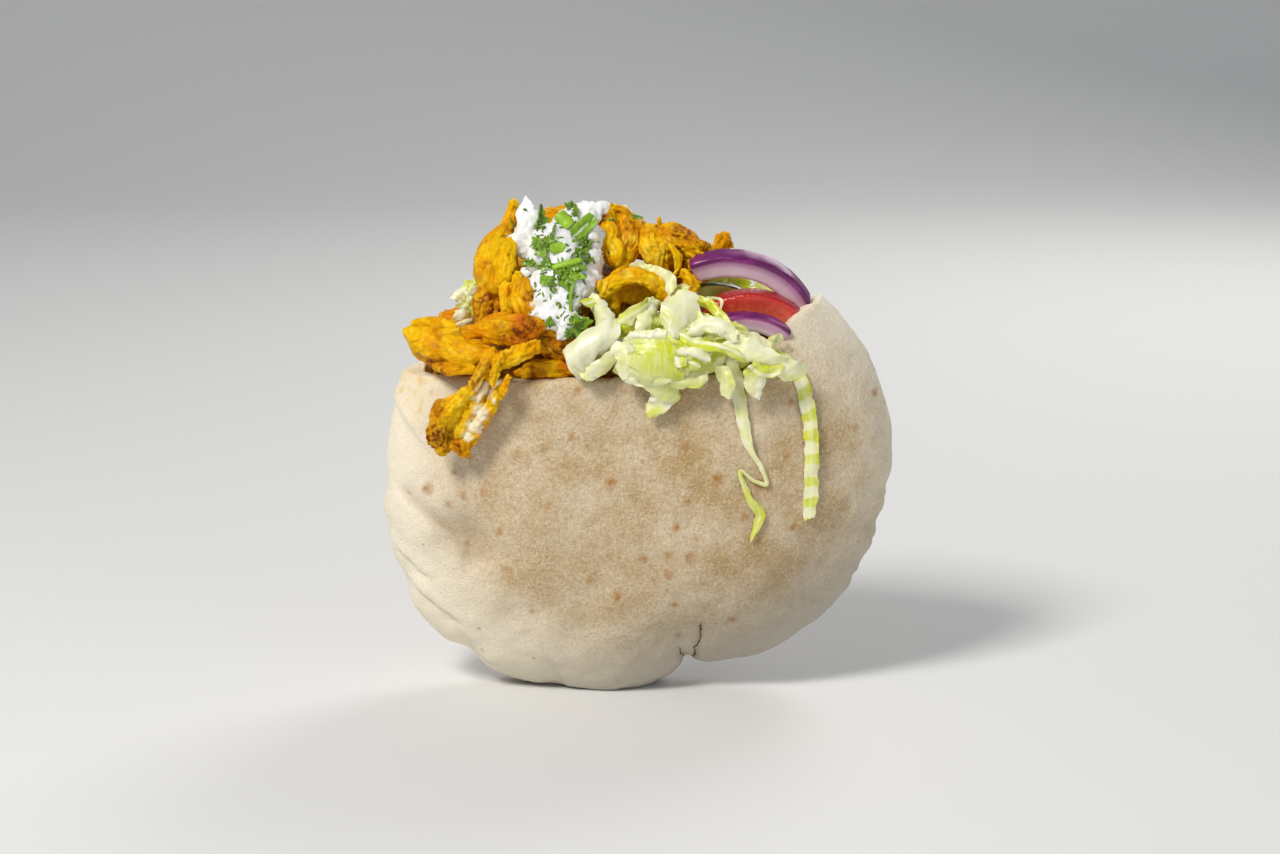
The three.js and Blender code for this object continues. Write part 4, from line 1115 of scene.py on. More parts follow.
def ball(at, radii, seed, lumps, around=20, rings=10):
    # a closed lumpy ellipsoid
    steps = np.linspace(0, np.pi, rings + 1)[1:-1]
    line = np.zeros((len(steps), 3))
    line[:, 2] = np.cos(steps)
    across, face = (np.tile(way, (len(steps), 1)) for way in ([1.0, 0, 0], [0, 1.0, 0]))
    points, faces = roundLoft(line, across, face, np.sin(steps), np.sin(steps), around)
    points[-2], points[-1] = (0, 0, 1), (0, 0, -1)
    swell = 1 + lumps * noiseAt(points * 2 + np.asarray(at) * 0.3, 1.0, seed)
    return points * swell[:, None] * radii + np.asarray(at, float), faces


def sauceFinish():
    finish = Finish("white sauce", 0.38, 0.5, (0.3, 0.0025, (1.0, 0.9, 0.75)), (0.12, 0.25))
    finish.layers((246, 246, 243), [
        (finish.mask(mottle, Size=7, Start=0.45, Soft=0.3, Detail=2, Shift=3.3), 1, (237, 237, 228)),
        (finish.mask(specks, Spacing=2.6, Radius=0.14, Kept=0.1, Ragged=0.1), 0.5, (120, 130, 80)),
        (finish.mark("stain"), 0.5, (244, 214, 120)),
    ])
    finish.bump(finish.noise(700, 3, 0.5), 0.4, 0.5)
    return finish.material


def makeSauce():
    parts = [ball((x, y, z), r, k, 0.22) for k, (x, y, z, r) in enumerate(sauceSet["blobs"])]
    parts.append(strandLoft(sauceSet["peak"], 0.85, 0.5, 5)[0])
    points, faces = skinned(parts, sauceSet["voxel"])
    points = relaxed(points, faces, 4)
    normals = normalsOf(points, faces)
    swirl = layeredNoise(points + 2.5 * noiseAt(points, 9, 61)[:, None], 4.5, 2, 62)
    curds = noiseAt(points, 1.8, 64)
    ridge = 1 - smooth(np.abs(noiseAt(points, 6.5, 66)), 0, 0.16)
    points = relaxed(points + normals * (0.8 * swirl + 0.4 * ridge - 0.25)[:, None], faces)
    sharp = 1 - 2.5 * np.abs(noiseAt(points, 2.6, 68))
    points = points + normals * (0.34 * curds + 0.22 * sharp)[:, None]
    edge = smooth(np.abs(points[:, 0] + 26), 9, 14) * smooth(noiseAt(points, 4, 67), 0.1, 0.6)
    return makePiece("white_sauce", points, faces, sauceFinish(), ["sauce"], {"stain": edge})


def sheetOf(tops, thick):
    # a closed sheet from a grid of points, rows by columns, thickened along its own normals
    normal = unit(np.cross(np.gradient(tops, axis=0), np.gradient(tops, axis=1)))
    half = np.broadcast_to(thick, tops.shape[:2])[..., None] / 2
    return closedGrid(tops + normal * half, tops - normal * half)


def herbShape(kind, length, width, draw):
    # a bit of herb lying flat in x and y, closed
    seed = int(draw.integers(1000))
    if kind in ("stem", "ring"):
        bend = draw.uniform(-0.12, 0.12) * length
        stops = [(-length / 2, 0, 0, width / 2), (0, bend, 0.2, width / 2), (length / 2, 0, 0, width * 0.42)]
        return strandLoft(stops, 0.8, 0.3, seed, 8)[0]
    rows, columns = (12, 10) if kind == "leaf" else (9, 7)
    u, v = np.meshgrid(np.linspace(-1, 1, rows), np.linspace(-1, 1, columns), indexing="ij")
    if kind == "leaf":
        # a square grid bent to a disc, with lobes and a torn outline
        radius = np.maximum(np.abs(u), np.abs(v))
        turn = np.arctan2(v, u)
        lobes = 0.7 + 0.2 * np.cos(3 * turn + seed) + 0.16 * np.cos(7 * turn + 2 * seed)
        lobes = lobes + draw.uniform(-0.14, 0.14, lobes.shape) * (radius > 0.9)
        x, y = radius * lobes * np.cos(turn), radius * lobes * np.sin(turn)
    else:
        x, y = u * (1 - 0.12 * v * v), v * (1 - (0.55 * u * u if kind == "blade" else 0.1 * u * u))
    x, y = x * length / 1.7, y * width / 1.7
    flat = np.stack([x, y, 0 * x], -1).reshape(-1, 3)
    z = 0.55 * noiseAt(flat, 1.5, seed) + 0.3 * noiseAt(flat, 0.8, seed + 1)
    z = z + draw.uniform(0, 0.5) * np.abs(flat[:, 1])
    if kind == "curl":
        z = z * 0.5 + 0.5 * width * (0.25 - (y.ravel() / width) ** 2 * 1.6)
    flat[:, 2] = z
    return sheetOf(flat.reshape(rows, columns, 3), herbUsual["thick"])


def herbFinish():
    finish = Finish("chopped herb", 0.36, 0.5, (0.12, 0.001, (0.4, 1.0, 0.1)), (0.15, 0.2))
    finish.layers((38, 72, 4), [
        # the lighter green is partly the bit's own and partly painted highlight
        (finish.mark("toneAndHighlight"), 1, (158, 200, 40)),
        (finish.mask(mottle, Size=1.0, Start=0.4, Soft=0.25, Detail=3, Shift=5.5), 0.27, (96, 140, 36)),
    ])
    finish.bump(finish.noise(1500, 2, 0.5), 0.4, 0.3)
    return finish.material


def surfaceTree(pieces):
    points, faces = joined([arraysOf(piece.data) for piece in pieces])
    return BVHTree.FromPolygons((points / mm - place).tolist(), faces.tolist())


def makeHerbs(pieces):
    tree = surfaceTree(pieces)
    draw = np.random.default_rng(herbUsual["seed"])
    up = math.radians(cameraSet["elevation"])
    eye = Vector(cameraSet["target"]) + Vector((0, -math.cos(up), math.sin(up))) * cameraSet["distance"] / mm
    parts, tones = [], []

    def lay(x, z, length, width, turn, kind, tone, sink):
        # at x and z as the photo's camera sees them, on whatever lies there
        aim = (Vector((x, -20, z)) - eye).normalized()
        hit, normal, _, _ = tree.ray_cast(eye, aim)
        if hit is None:
            return
        facing = unit(np.array(normal) * 0.65 - np.array(aim) * 0.6)
        right = unit(np.cross([0, 0, 1.0], -facing) * -1)
        above = np.cross(facing, right)
        points, faces = herbShape(kind, length, width, draw)
        a = math.radians(turn)
        across, along = right * math.cos(a) + above * math.sin(a), above * math.cos(a) - right * math.sin(a)
        laid = points[:, :1] * across + points[:, 1:2] * along + points[:, 2:] * facing
        parts.append((laid + np.array(hit) + facing * sink, faces))
        # lighter where the bit stands higher: a painted highlight
        tones.append(np.clip(tone + 0.35 * noiseAt(points, (1.2, 2.4, 2), 3) + 0.3 * points[:, 2], 0, 1))

    for x, z, length, width, turn, kind, tone in herbSet:
        grown = herbUsual["leafGrown" if kind == "leaf" else "grown"]
        lay(x, z, grown * length, grown * width, turn, kind, tone, 0.35)
        if kind == "leaf" and length > 3:
            for _ in range(herbUsual["smallLeaves"]):
                lay(x + draw.normal(0, 0.25) * length, z + draw.normal(0, 0.25) * width, 0.65 * length,
                    0.7 * width, turn + draw.uniform(-80, 80), "leaf", tone + draw.uniform(-0.1, 0.2), 0.8)
    scatter = np.random.default_rng(herbUsual["fleckSeed"])
    for _ in range(herbUsual["flecks"]):
        x, z = scatter.normal(-25, 7), scatter.uniform(128, 167)
        length, width = herbUsual["fleckLength"] * scatter.uniform(0.4, 1.5), scatter.uniform(0.3, 0.8)
        lay(x, z, length, width, scatter.uniform(0, 180), "blade", scatter.uniform(0.05, 0.5), 0.05)
    points, faces = joined(parts)
    marks = {"toneAndHighlight": np.concatenate(tones)}
    return makePiece("chopped_herbs", points, faces, herbFinish(), (), marks, 60)


# The lettuce: ribbons cut from leaves. Each is a row of places, its width, its turn about its own length in
# degrees, how green it is from white 0 to yellow green 1, and how far it cups against its width. A row of
# widths or greens is spread along it.


lettuceSet = {
    "front": [
        ([(-16.5, -26, 138.5), (-13.5, -28.5, 135), (-10, -31, 129.5)], 6.5, -15, 0.25, 0.2),
        ([(-18.5, -28.5, 137), (-14.5, -28, 138)], 3.4, 10, 1, 0.1),
        ([(-7.5, -31, 130.5), (-2, -32, 134.5), (4.5, -28.5, 138)], 4.8, 20, 0.55, 0.1),
        ([(13.5, -24, 140.5), (13, -30, 135.5), (10, -34, 128)], 12.5, -8, 0.12, 0.16),
        ([(-7, -33, 128), (-14.5, -36.5, 125.5), (-20.5, -36, 121), (-22, -34, 116)], 10, 10, 0.05, 0.35),
        ([(-7, -35.5, 122), (-13, -37, 117.5), (-19, -35.5, 114.5)], 5, -10, 0.3, 0.15),
        ([(-6, -35.5, 126), (-4, -38, 120.5), (-4.5, -37.5, 114)], 8, 5, (0.1, 0.3, 0.15), 0.12),
        ([(3.5, -36, 128), (5, -39.3, 121.5), (4.5, -38.8, 115), (4, -36.5, 109.5)], 19, -3,
         (0.5, 0.9, 0.55, 0.3), 0.08),
        ([(13.5, -37, 126), (14.5, -39.5, 120.5), (14, -38.5, 115.5)], 6, 10, 0.7, 0.12),
        ([(-5, -37, 115), (3, -38.6, 113.5), (11, -39, 116)], 4, 12, 0.3, 0.1),
        ([(5.5, -34, 126.5), (10, -38.5, 124), (12.5, -40, 118.5)], 7, -18, 0.85, 0.1),
        ([(8, -37, 117), (7.5, -36.5, 111), (6, -35, 105.5), (2.5, -34, 101.5)], (8, 8.5, 8, 4), -6,
         (0.2, 0.05, 0.05, 0.8), 0.1),
        ([(-3.5, -17, 147.5), (3, -20, 146.5), (9, -23, 144.5), (10.5, -25, 140)], 4.5, -30, 0.3, 0.12),
        ([(11.5, -21, 141), (15.5, -22.5, 140.5)], 4, 10, 0.5, 0.1),
        ([(12.5, -23, 137.5), (16.5, -21.5, 140)], 3, -20, 0.3, 0.1),
        ([(18, -19, 137), (23, -23, 135.5), (26.5, -26, 132), (30, -29.5, 128)], 3.4, 20, 0.95, 0.1),
        ([(15.5, -34, 129), (21.5, -36, 131.5), (27, -36.5, 130.5), (30.5, -36, 125.5)], 5, -12, 0.03, 0.15),
        ([(12.5, -36, 128), (18.5, -38, 125.5), (27, -38.5, 124), (34.5, -37, 120)], 3.2, 15, 0.85, 0.1),
        ([(12.5, -39.5, 124), (17, -40, 123.5), (22, -39.5, 121.5)], 3.2, 30, 0.15, 0.1),
        ([(27.5, -35.5, 126), (36, -37, 123), (44.5, -35.5, 118), (52, -31, 114)], 7.5, 14, 0.12, 0.12),
        ([(26.5, -35, 118), (27.5, -35.5, 113), (28, -34.5, 107.5)], 5.5, -12, 0.4, 0.1),
        ([(37, -33.5, 119), (37, -34, 113.5), (36.5, -33.5, 107.5)], 7, 14, (0.6, 0.35, 0.2), 0.1),
        ([(41, -28, 124.5), (46.5, -25, 125.5)], 3.2, 0, 0.45, 0.1),
        ([(42, -30, 122.5), (43.5, -27, 125)], 2.6, 0, 0.2, 0.1),
        ([(14.5, -39.5, 120), (19, -38.5, 118)], 3.6, -10, 0.95, 0.1),
        ([(22, -19, 137.5), (26.5, -21, 137), (26, -22.5, 134)], 1.0, 0, 0.25, 0.0),
        ([(35.5, -37.5, 119), (40, -37, 116.5), (45.5, -35.5, 116.5)], 4.2, 10, 0.75, 0.1),
        ([(5.5, -26, 138), (2, -32, 133.5), (0.5, -35, 128)], 5, 10, 0.3, 0.15),
        ([(16.5, -27, 133.5), (22, -33, 130), (25.5, -35.5, 126.5)], 4.5, -20, 0.5, 0.15),
        ([(-3.5, -35, 128), (3, -37, 127), (8.5, -37, 128.5)], 5, 0, 0.2, 0.2),
        ([(9.5, -38, 113), (16.5, -37.5, 113.5), (22, -36.5, 114.5)], 5, 8, 0.4, 0.12),
        ([(31.5, -30, 127), (37, -32, 126), (42.5, -31, 122)], 4.5, -10, 0.15, 0.1),
        ([(-5.5, -1.5, 165.5), (-3.5, -2, 163)], 1.9, 0, 0.15, 0.1),
    ],
    "left": [
        ([(-57.5, 2, 140), (-56, 2, 138), (-54.5, 1, 135.5)], 3.4, 10, 0.55, 0.1),
        ([(-61.5, 0, 133.5), (-58.5, 1, 135.5), (-53.5, 2, 134.5)], 4.4, -10, 0.12, 0.15),
        ([(-62, -2, 128.5), (-58, -1, 129.5), (-53.5, 1, 130.5)], 4.2, 20, 0.08, 0.15),
        ([(-60.5, -1, 132.5), (-57, 0, 131), (-53.5, 1, 131.5)], 3.4, 20, 0.25, 0.1),
        ([(-62, -4, 125), (-57.5, -3, 126.5), (-53.5, -2, 127)], 2.0, 0, 0.05, 0.1),
    ],
    # middle and radii of each heap, how many ribbons are strewn over it, and their seed
    "heaps": {
        "front": ((9, -25, 122), (26, 10.5, 10), 72, 5),
        "left": ((-54, 3, 133), (5, 6, 8), 14, 6),
        "back": ((31, 10, 128), (18, 9, 11), 34, 7),
    },
}
# Two long shreds hang down the face of the bread: x and z along them, width, how green, and how strong the
# green bands across them are.
hangingSet = [
    ([(27, 124), (30.6, 115), (32.4, 105), (35.6, 90), (39.5, 83.5), (41.3, 77.6), (37, 79), (32.6, 82.6),
      (33.8, 77.5), (36, 72.5), (39.2, 67.5), (36.9, 59)],
     (3.4, 4.3, 4.5, 4.2, 3.8, 1.9, 1.3, 1.2, 1.4, 2.6, 3.4, 1.2),
     (0.1, 0.12, 0.08, 0.05, 0.3, 0.8, 0.75), 0.25),
    ([(30, 126), (43, 120), (51, 113.5), (54, 106), (55.7, 95), (56.3, 83), (55.6, 65)],
     (4.2, 5, 4.8, 4.8, 4.6), (0.15, 0.22, 0.25, 0.22, 0.12), 0.8),
]
wideLeaf = 12  # from this width a ribbon has more columns and no rib, and lies calmer


def lettuceFinish():
    finish = Finish("wet lettuce", 0.36, 0.45, (0.45, 0.0018, (1.0, 1.0, 0.5)), (0.12, 0.15))
    along = {"X": finish.times(finish.mark("run"), 0.16), "Y": finish.mark("side")}
    veins = finish.noise(0.8, 3, 0.55, addNode(finish.tree, "ShaderNodeCombineXYZ", along).outputs[0])
    finish.layers((253, 252, 206), [
        (finish.ramp(finish.mark("green"), 0.08, 0.8), 1, (212, 222, 24)),
        (finish.mask(mottle, Size=4, Start=0.4, Soft=0.25, Detail=4, Shift=6.1), 0.4, (236, 238, 116)),
        (finish.ramp(veins, 0.5, 0.62), 0.4, (252, 252, 200)),
        (finish.mark("rib"), 0.7, (254, 253, 228)),
    ])
    under = finish.bump(veins, 0.4, 0.6)
    finish.bump(finish.noise(1000 / 1.6, 3), 0.22, 0.4, under)
    return finish.material


def ribbon(stops, widths, turn, green, cup, seed, bands=0, calm=1, thick=0.32):
    # bands is how strong green bands across it are, and calm how much of its waves it has
    length = sum(np.linalg.norm(np.subtract(a, b)) for a, b in zip(stops[:-1], stops[1:]))
    widths = np.atleast_1d(widths)
    width = widths.max()
    rows, columns = int(12 + 1.6 * length), 11 if width < wideLeaf else 21
    line = curveThrough(stops, rows)
    along, across, face = framesAlong(line)
    u, v = np.meshgrid(np.linspace(0, 1, rows), np.linspace(-1, 1, columns), indexing="ij")
    draw = np.random.default_rng(seed)

    def waver(lengthwise, sideways, size, more):
        # noise on the ribbon laid flat
        flat = np.stack([lengthwise, sideways, 0 * u], -1).reshape(-1, 3)
        return noiseAt(flat, size, seed + more).reshape(u.shape)

    # both ends are cut askew, each its own way
    skew = draw.uniform(-0.7, 0.7, 2) * width / length
    shifted = u + v * (skew[0] * (1 - u) + skew[1] * u) * 0.5
    shifted = shifted + waver(v * width / 2, 0 * v, 2.2, 11) * (2 * u - 1) * min(0.1, 1.1 / length)
    path = np.stack([np.interp(shifted, np.linspace(0, 1, rows), line[:, k]) for k in range(3)], -1)
    path = path + along[:, None] * ((shifted - np.clip(shifted, 0, 1)) * length)[..., None]
    twist = draw.uniform(-0.5, 0.5) * min(1, length / 15)
    turned = np.radians(turn) * (0.4 + 0.6 * np.cos(5 * u[:, :1])) + twist * (u[:, :1] - 0.5)
    turned = turned + 0.45 * noiseAt(line, 9, seed)[:, None]
    flat = across * np.cos(turned) + face * np.sin(turned)
    normal = face * np.cos(turned) - across * np.sin(turned)
    taper = 0.72 + 0.28 * smooth(np.minimum(u, 1 - u) * length, 0, 2.5)
    rim = (u * length, np.sign(v) * 7)
    ragged = 1 + 0.3 * waver(*rim, 3.6, 1) - 0.3 * np.maximum(0, waver(*rim, 1.3, 2) - 0.1)
    broad = np.interp(u, np.linspace(0, 1, len(widths)), widths)
    reach = v * broad / 2 * taper * ragged
    leaf = (u * length, v * width / 2)
    waves = 1.1 * waver(*leaf, 3.2 + 0.25 * width, 3) + 0.4 * waver(*leaf, 1.7, 6)
    waves = waves + 1.3 * waver(u * length, v * 3, 3.4, 8) * v * v
    lift = -cup * width * (v * v - 0.35) + waves * calm * min(1, width / 4)
    tops = path + flat[:, None] * reach[..., None] + normal[:, None] * lift[..., None]
    at = draw.uniform(-0.7, 0.7)
    ribbed = draw.choice([0, 0.4, 1]) if 3 < width < wideLeaf else 0
    rib = ribbed * hill(v - at, 0.24)
    body = thick * (1 - 0.3 * v * v) + 0.7 * rib * min(1, width / 6)
    greens = np.interp(u, np.linspace(0, 1, np.size(green)), np.atleast_1d(green))
    tone = greens + 0.34 * waver(*leaf, 5, 4) + draw.uniform(-0.22, 0.22) * v
    tone = tone * (1 - 0.6 * rib)
    if bands:
        # cut across the leaf, so that its veins cross the shred
        crossing = np.sin(u * length * 0.85 + 0.4 * v + 1.3 * waver(*leaf, 6, 9))
        tone = tone + bands * smooth(crossing, -0.3, 0.4)
    marks = {"green": np.clip(tone, 0, 1), "rib": rib, "run": u * length + 30 * draw.random(),
             "side": v * width / 2}
    return sheetOf(tops, body), {key: np.tile(values.ravel(), 2) for key, values in marks.items()}


def strewn(heap, draw):
    # ribbons that follow the round of a heap, a little proud of it, and every third one short and outermost
    at, radii, count, _ = heap
    made = []
    for k in range(count):
        short = k % 3 == 2
        out = unit(draw.normal(0, 1, 3))
        out[2] = abs(out[2]) if draw.random() < 0.6 else out[2]
        side = unit(np.cross(out, draw.normal(0, 1, 3)))
        reach = draw.uniform(0.1, 0.2) if short else draw.uniform(0.25, 0.5)
        off = draw.uniform(1.04, 1.16) if short else draw.uniform(0.96, 1.08)
        stops = [np.array(at) + np.array(radii) * unit(out + side * t) * off for t in (-reach, 0, reach)]
        width = draw.uniform(1.4, 3.2) if short else draw.uniform(2.2, 5.2)
        green = draw.choice([0.05, 0.2, 0.4, 0.7, 0.95])
        made.append((stops, width, draw.uniform(-50, 50), green, draw.uniform(0, 0.2)))
    return made


def hangingStops(route):
    # places along a shred that hangs down the front of the bread
    stops = []
    for x, z in route:
        low = min(z, float(cutHeights(np.array(x))[0]))
        stops.append((x, float(breadFront(x, low)) - 1.5 + 0.3 * (z - low), z))
    return stops


def makeLettuce(name, ribbons, heap, finish, replaced, hanging=()):
    at, radii, _, seed = heap
    draw = np.random.default_rng(seed)
    core, coreFaces = ball(at, np.array(radii, float) * 0.86, seed, 0.25, 40, 24)
    parts = [(core, coreFaces)]
    # the core is greener than most ribbons on it, which paints shade in the gaps between them
    marks = [{"green": np.clip(0.7 + 0.4 * noiseAt(core, 4, 1), 0, 1), "rib": 0 * core[:, 0],
              "run": core[:, 0], "side": core[:, 2]}]
    plain = [*ribbons, *strewn(heap, draw)]
    laid = [(*given, 0, 1 if np.max(given[1]) < wideLeaf else 0.6) for given in plain]
    for route, width, green, bands in hanging:
        laid.append((hangingStops(route), width, 0, green, 0.05, bands, 0.4))
    for k, (*given, bands, calm) in enumerate(laid):
        part, mark = ribbon(*given, seed * 100 + k, bands, calm)
        parts.append(part)
        marks.append(mark)
    points, faces = joined(parts)
    marks = {key: np.concatenate([mark[key] for mark in marks]) for key in marks[0]}
    return makePiece(name, points, faces, finish, [replaced], marks, 55)


# Slices that stand in the pocket: an arc of each, as seen from the front. middle is the centre of its circle,
# lean how far it tips forward in degrees, square how sharp the edges of its band are, and skin how deep its
# skin's colour goes in.

def arcTop(top, outer, lean):
    # the middle of a circle that leans, from its top
    x, y, z = top
    lean = math.radians(lean)
    return (x, y + outer * math.sin(lean), z - outer * math.cos(lean))


sliceSet = {
    "onion_upper": {"middle": arcTop((29, -13, 151.5), 30, 24), "outer": 30, "inner": 22, "arc": (22, 116),
                    "thick": 7, "lean": 24, "square": 0.4, "skin": 2.6, "seed": 11},
    "onion_lower": {"middle": arcTop((34.5, -22, 133), 21, 16), "outer": 21, "inner": 15, "arc": (44, 118),
                    "thick": 5, "lean": 16, "square": 0.4, "skin": 1.5, "seed": 11},
    "tomato_slice": {"middle": (36, -8, 114.6), "outer": 24.5, "inner": 12, "arc": (34, 142), "thick": 8,
                     "lean": 10, "square": 0.3, "skin": 0.6, "seed": 12},
    "cucumber_slice": {"middle": (25, -1, 120.5), "outer": 19.5, "inner": 6, "arc": (30, 150), "thick": 4,
                       "lean": 6, "square": 0.25, "skin": 0.7, "seed": 14},
}
sliceGrid = {"steps": 64, "sides": 36}


def onionFinish():
    finish = Finish("red onion", 0.36, 0.45, (0.35, 0.003, (1.0, 0.7, 0.9)), (0.12, 0.2))
    streak = finish.mark("streak")
    skin = finish.blend(streak, (98, 14, 84), (150, 52, 130))
    finish.layers((204, 142, 184), [
        (finish.mark("depth"), 1, (236, 212, 224)),
        (finish.mark("line"), 0.4, (190, 140, 184)),
        (finish.mark("skin"), 1, skin),
    ])
    finish.bump(streak, 0.2, 0.4)
    return finish.material


def tomatoFinish():
    finish = Finish("cut tomato", 0.24, 0.5, (0.35, 0.004, (1.0, 0.25, 0.12)), (0.3, 0.1))
    fine = finish.mask(mottle, Size=1.4, Start=0.4, Soft=0.25, Detail=4, Shift=8.2)
    heart = finish.blend(fine, (222, 104, 74), (236, 142, 104))
    finish.layers((200, 46, 32), [
        (finish.mark("streak"), 1, (222, 82, 56)),
        (finish.mark("depth"), 1, heart),
        (finish.mark("skin"), 1, (172, 24, 20)),
    ])
    finish.bump(fine, 0.3, 0.5)
    return finish.material


def cucumberFinish():
    finish = Finish("cut cucumber", 0.28, 0.5, (0.4, 0.004, (0.8, 1.0, 0.4)), (0.25, 0.12))
    streak = finish.mark("streak")
    rind = finish.blend(streak, (60, 86, 26), (118, 140, 58))
    finish.layers((206, 216, 112), [
        (finish.mark("depth"), 1, (232, 236, 172)),
        (finish.mark("skin"), 1, rind),
    ])
    finish.bump(streak, 0.3, 0.4)
    return finish.material


def makeSlice(name, finish):
    s = sliceSet[name]
    seed, count, sides = s["seed"], sliceGrid["steps"], sliceGrid["sides"]
    turns = turnsOf(sides)
    ringR, ringW = (np.sign(side) * np.abs(side) ** s["square"] for side in (np.cos(turns), np.sin(turns)))
    lean = math.radians(s["lean"])
    up = np.array([0, -math.sin(lean), math.cos(lean)])
    axis = np.array([0, -math.cos(lean), -math.sin(lean)])
    angles = np.radians(np.linspace(*s["arc"], count))
    ends = np.ones(count)
    ends[[0, 1, -2, -1]] = 0.82, 0.95, 0.95, 0.82
    middle, half = (s["outer"] + s["inner"]) / 2, (s["outer"] - s["inner"]) / 2
    out = np.cos(angles)[:, None] * np.array([1.0, 0, 0]) + np.sin(angles)[:, None] * up
    r = middle + half * ends[:, None] * ringR
    w = s["thick"] / 2 * ends[:, None] * ringW
    points = (np.array(s["middle"]) + out[:, None] * r[..., None] + axis * w[..., None]).reshape(-1, 3)
    local = np.stack([np.repeat(angles * s["outer"], sides), w.ravel(), r.ravel()], 1)
    caps = []
    for row, flip in ((0, 1), (count - 1, -1)):
        for j in range(sides // 2 - 1):
            loop = [j, j + 1, sides - 2 - j, sides - 1 - j]
            caps.append([row * sides + at for at in loop[::flip]])
    faces = np.concatenate([tubeFaces(count, sides, True), caps])
    normals = normalsOf(points, faces)
    lift = 0.25 * noiseAt(points, 6, seed) + 0.1 * noiseAt(local, (5, 1.2, 1.2), seed + 1)
    points = points + normals * lift[:, None]
    deep = s["outer"] - local[:, 2]
    skin = smooth(-deep, -s["skin"], -0.5 * s["skin"])
    streak = noiseAt(local, (7, 1.0, 1.0), seed + 2) + 0.5 * noiseAt(local, (2, 0.6, 1), seed + 3)
    marks = {
        "skin": skin,
        "depth": smooth(deep + 0.8 * noiseAt(points, 4, seed + 4), 0.15 * half, 1.5 * half),
        "line": hill(np.mod(deep, 2.0) - 1, 0.22) * (1 - skin),
        "streak": smooth(streak, -0.3, 0.7),
    }
    return makePiece(name + "_cut", points, faces, finish, [name], marks)


# What is packed in the pocket: the form of its solid, chopped small where it shows

stuffingSet = {"voxel": 1.3, "shows": (104, 114)}


def stuffingFinish():
    finish = Finish("packed filling", 0.5, 0.4, (0.1, 0.002, (1.0, 0.5, 0.1)))
    fine = finish.mask(mottle, Size=1.5, Start=0.4, Soft=0.2, Detail=4, Shift=2.9)
    finish.layers((214, 148, 22), [
        (finish.mask(mottle, Size=4, Start=0.42, Soft=0.12, Detail=2, Shift=9.4), 1, (158, 92, 20)),
        (fine, 0.5, (236, 184, 48)),
        # painted shade: dark brown in the hollows between the lumps
        (finish.mark("hollowShade"), 0.85, (64, 30, 10)),
    ])
    finish.bump(fine, 0.5, 0.8)
    return finish.material


def makeStuffing():
    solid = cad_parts["stuffing"].data
    corners = np.array([tuple(vertex.co) for vertex in solid.vertices]) / mm - place
    form = meshObject("loose", corners, [tuple(side.vertices) for side in solid.polygons])
    points, faces = skinOf(form, stuffingSet["voxel"])
    points = relaxed(points, faces, 2)
    normals = normalsOf(points, faces)
    above = smooth(points[:, 2], *stuffingSet["shows"])
    lumpy = 1.3 * noiseAt(points, 7, 81) + 1.6 * (0.35 - np.abs(noiseAt(points, 5.5, 82)))
    lumpy = lumpy + 0.7 * noiseAt(points, (2.6, 2.6, 5), 83)
    # painted shade where the lumps sink
    marks = {"hollowShade": smooth(-lumpy, -0.2, 0.9) * above}
    points = points + normals * (above * (lumpy - 0.6))[:, None]
    return makePiece("packed_filling", points, faces, stuffingFinish(), ["stuffing"], marks)


saucePiece = makeSauce()
print("sauce:", len(saucePiece.data.polygons), "faces")
herbPiece = makeHerbs([saucePiece] + [bpy.data.objects[name + "_torn"] for name in tornSet])
print("herbs:", len(herbPiece.data.polygons), "faces")
leaf = lettuceFinish()
heaps = lettuceSet["heaps"]
lettucePieces = [
    makeLettuce("lettuce_heap", lettuceSet["front"], heaps["front"], leaf, "lettuce_front", hangingSet),
    makeLettuce("lettuce_tuft", lettuceSet["left"], heaps["left"], leaf, "lettuce_left"),
    makeLettuce("lettuce_behind", (), heaps["back"], leaf, "lettuce_back"),
]
print("lettuce:", sum(len(piece.data.polygons) for piece in lettucePieces), "faces")
onion = onionFinish()
makeSlice("onion_upper", onion)
makeSlice("onion_lower", onion)
makeSlice("tomato_slice", tomatoFinish())
makeSlice("cucumber_slice", cucumberFinish())
stuffingPiece = makeStuffing()
print("filling:", len(stuffingPiece.data.polygons), "faces")


# Floor, light and camera

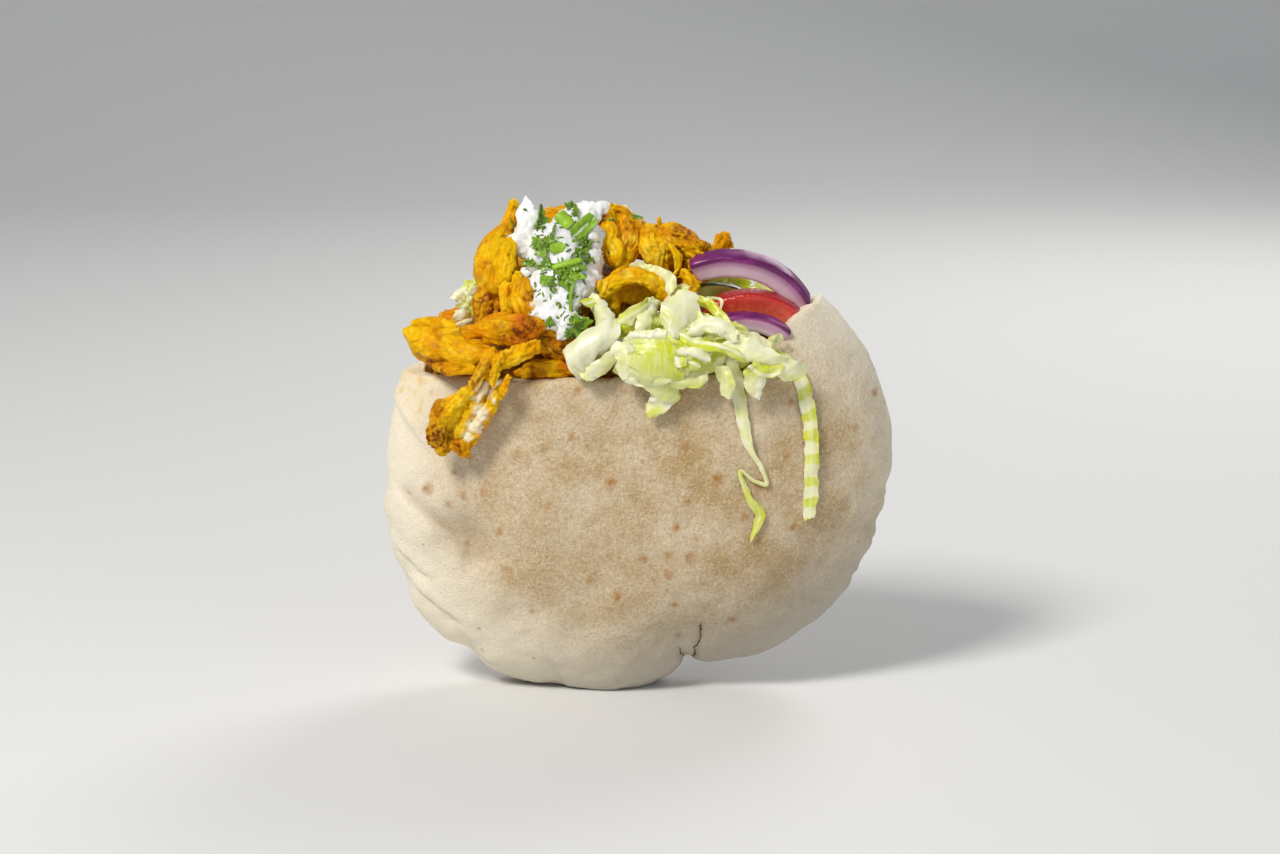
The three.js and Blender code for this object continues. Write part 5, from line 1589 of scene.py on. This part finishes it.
# half the floor's width, where its bend to the wall starts, the bend's radius and the wall's top, in metres
floorSet = {"half": 3.0, "bendAt": 1.2, "bend": 0.8, "top": 2.4, "steps": 12}
lightSet = {
    # place in metres, width, power in watts, colour
    "key": ((-0.7, -0.85, 1.2), 0.4, 20, (1.0, 0.975, 0.94)),
    "fill": ((0.95, -0.9, 0.45), 0.9, 2.2, (0.93, 0.96, 1.0)),
    "rim": ((0.5, 0.9, 0.8), 0.6, 6, (1.0, 0.98, 0.95)),
}
roomSet = {"Color": (0.85, 0.9, 1.0, 1), "Strength": 0.25}


def makeStage():
    half, bend = floorSet["half"], floorSet["bend"]
    profile = [(-half, 0.0)]
    for a in np.linspace(0, math.pi / 2, floorSet["steps"] + 1):
        profile.append((floorSet["bendAt"] + bend * math.sin(a), bend - bend * math.cos(a)))
    profile.append((floorSet["bendAt"] + bend, floorSet["top"]))
    points = [(x, y, z) for y, z in profile for x in (-half, half)]
    faces = [(2 * k, 2 * k + 1, 2 * k + 3, 2 * k + 2) for k in range(len(profile) - 1)]
    floor = meshObject("floor", points, faces)
    floor.data.polygons.foreach_set("use_smooth", [True] * len(faces))
    paper = Finish("pale floor", 0.9, others=[("Base Color", colour(226, 226, 224))])
    floor.data.materials.append(paper.material)


def makeLights():
    for name, (at, width, power, tint) in lightSet.items():
        lamp = bpy.data.lights.new(name, "AREA")
        lamp.size, lamp.energy, lamp.color = width, power, tint
        holder = newObject(name, lamp)
        holder.location = at
        holder.rotation_euler = (Vector((0, 0, 0.09)) - Vector(at)).to_track_quat("-Z", "Y").to_euler()
    world = bpy.data.worlds.new("soft room")
    world.use_nodes = True
    for key, value in roomSet.items():
        world.node_tree.nodes["Background"].inputs[key].default_value = value
    bpy.context.scene.world = world


def makeCamera():
    target = Vector(((np.array(cameraSet["target"]) + place) * mm).tolist())
    up = math.radians(cameraSet["elevation"])
    back = Vector((0, -math.cos(up), math.sin(up)))
    camera = bpy.data.cameras.new("camera")
    camera.lens, camera.sensor_width = cameraSet["lens"], cameraSet["sensor"]
    holder = newObject("camera", camera)
    holder.location = target + back * cameraSet["distance"]
    holder.rotation_euler = (-back).to_track_quat("-Z", "Y").to_euler()
    bpy.context.scene.camera = holder


makeStage()
makeLights()
makeCamera()
bpy.context.scene.view_settings.view_transform = "Standard"
print("stage ready")
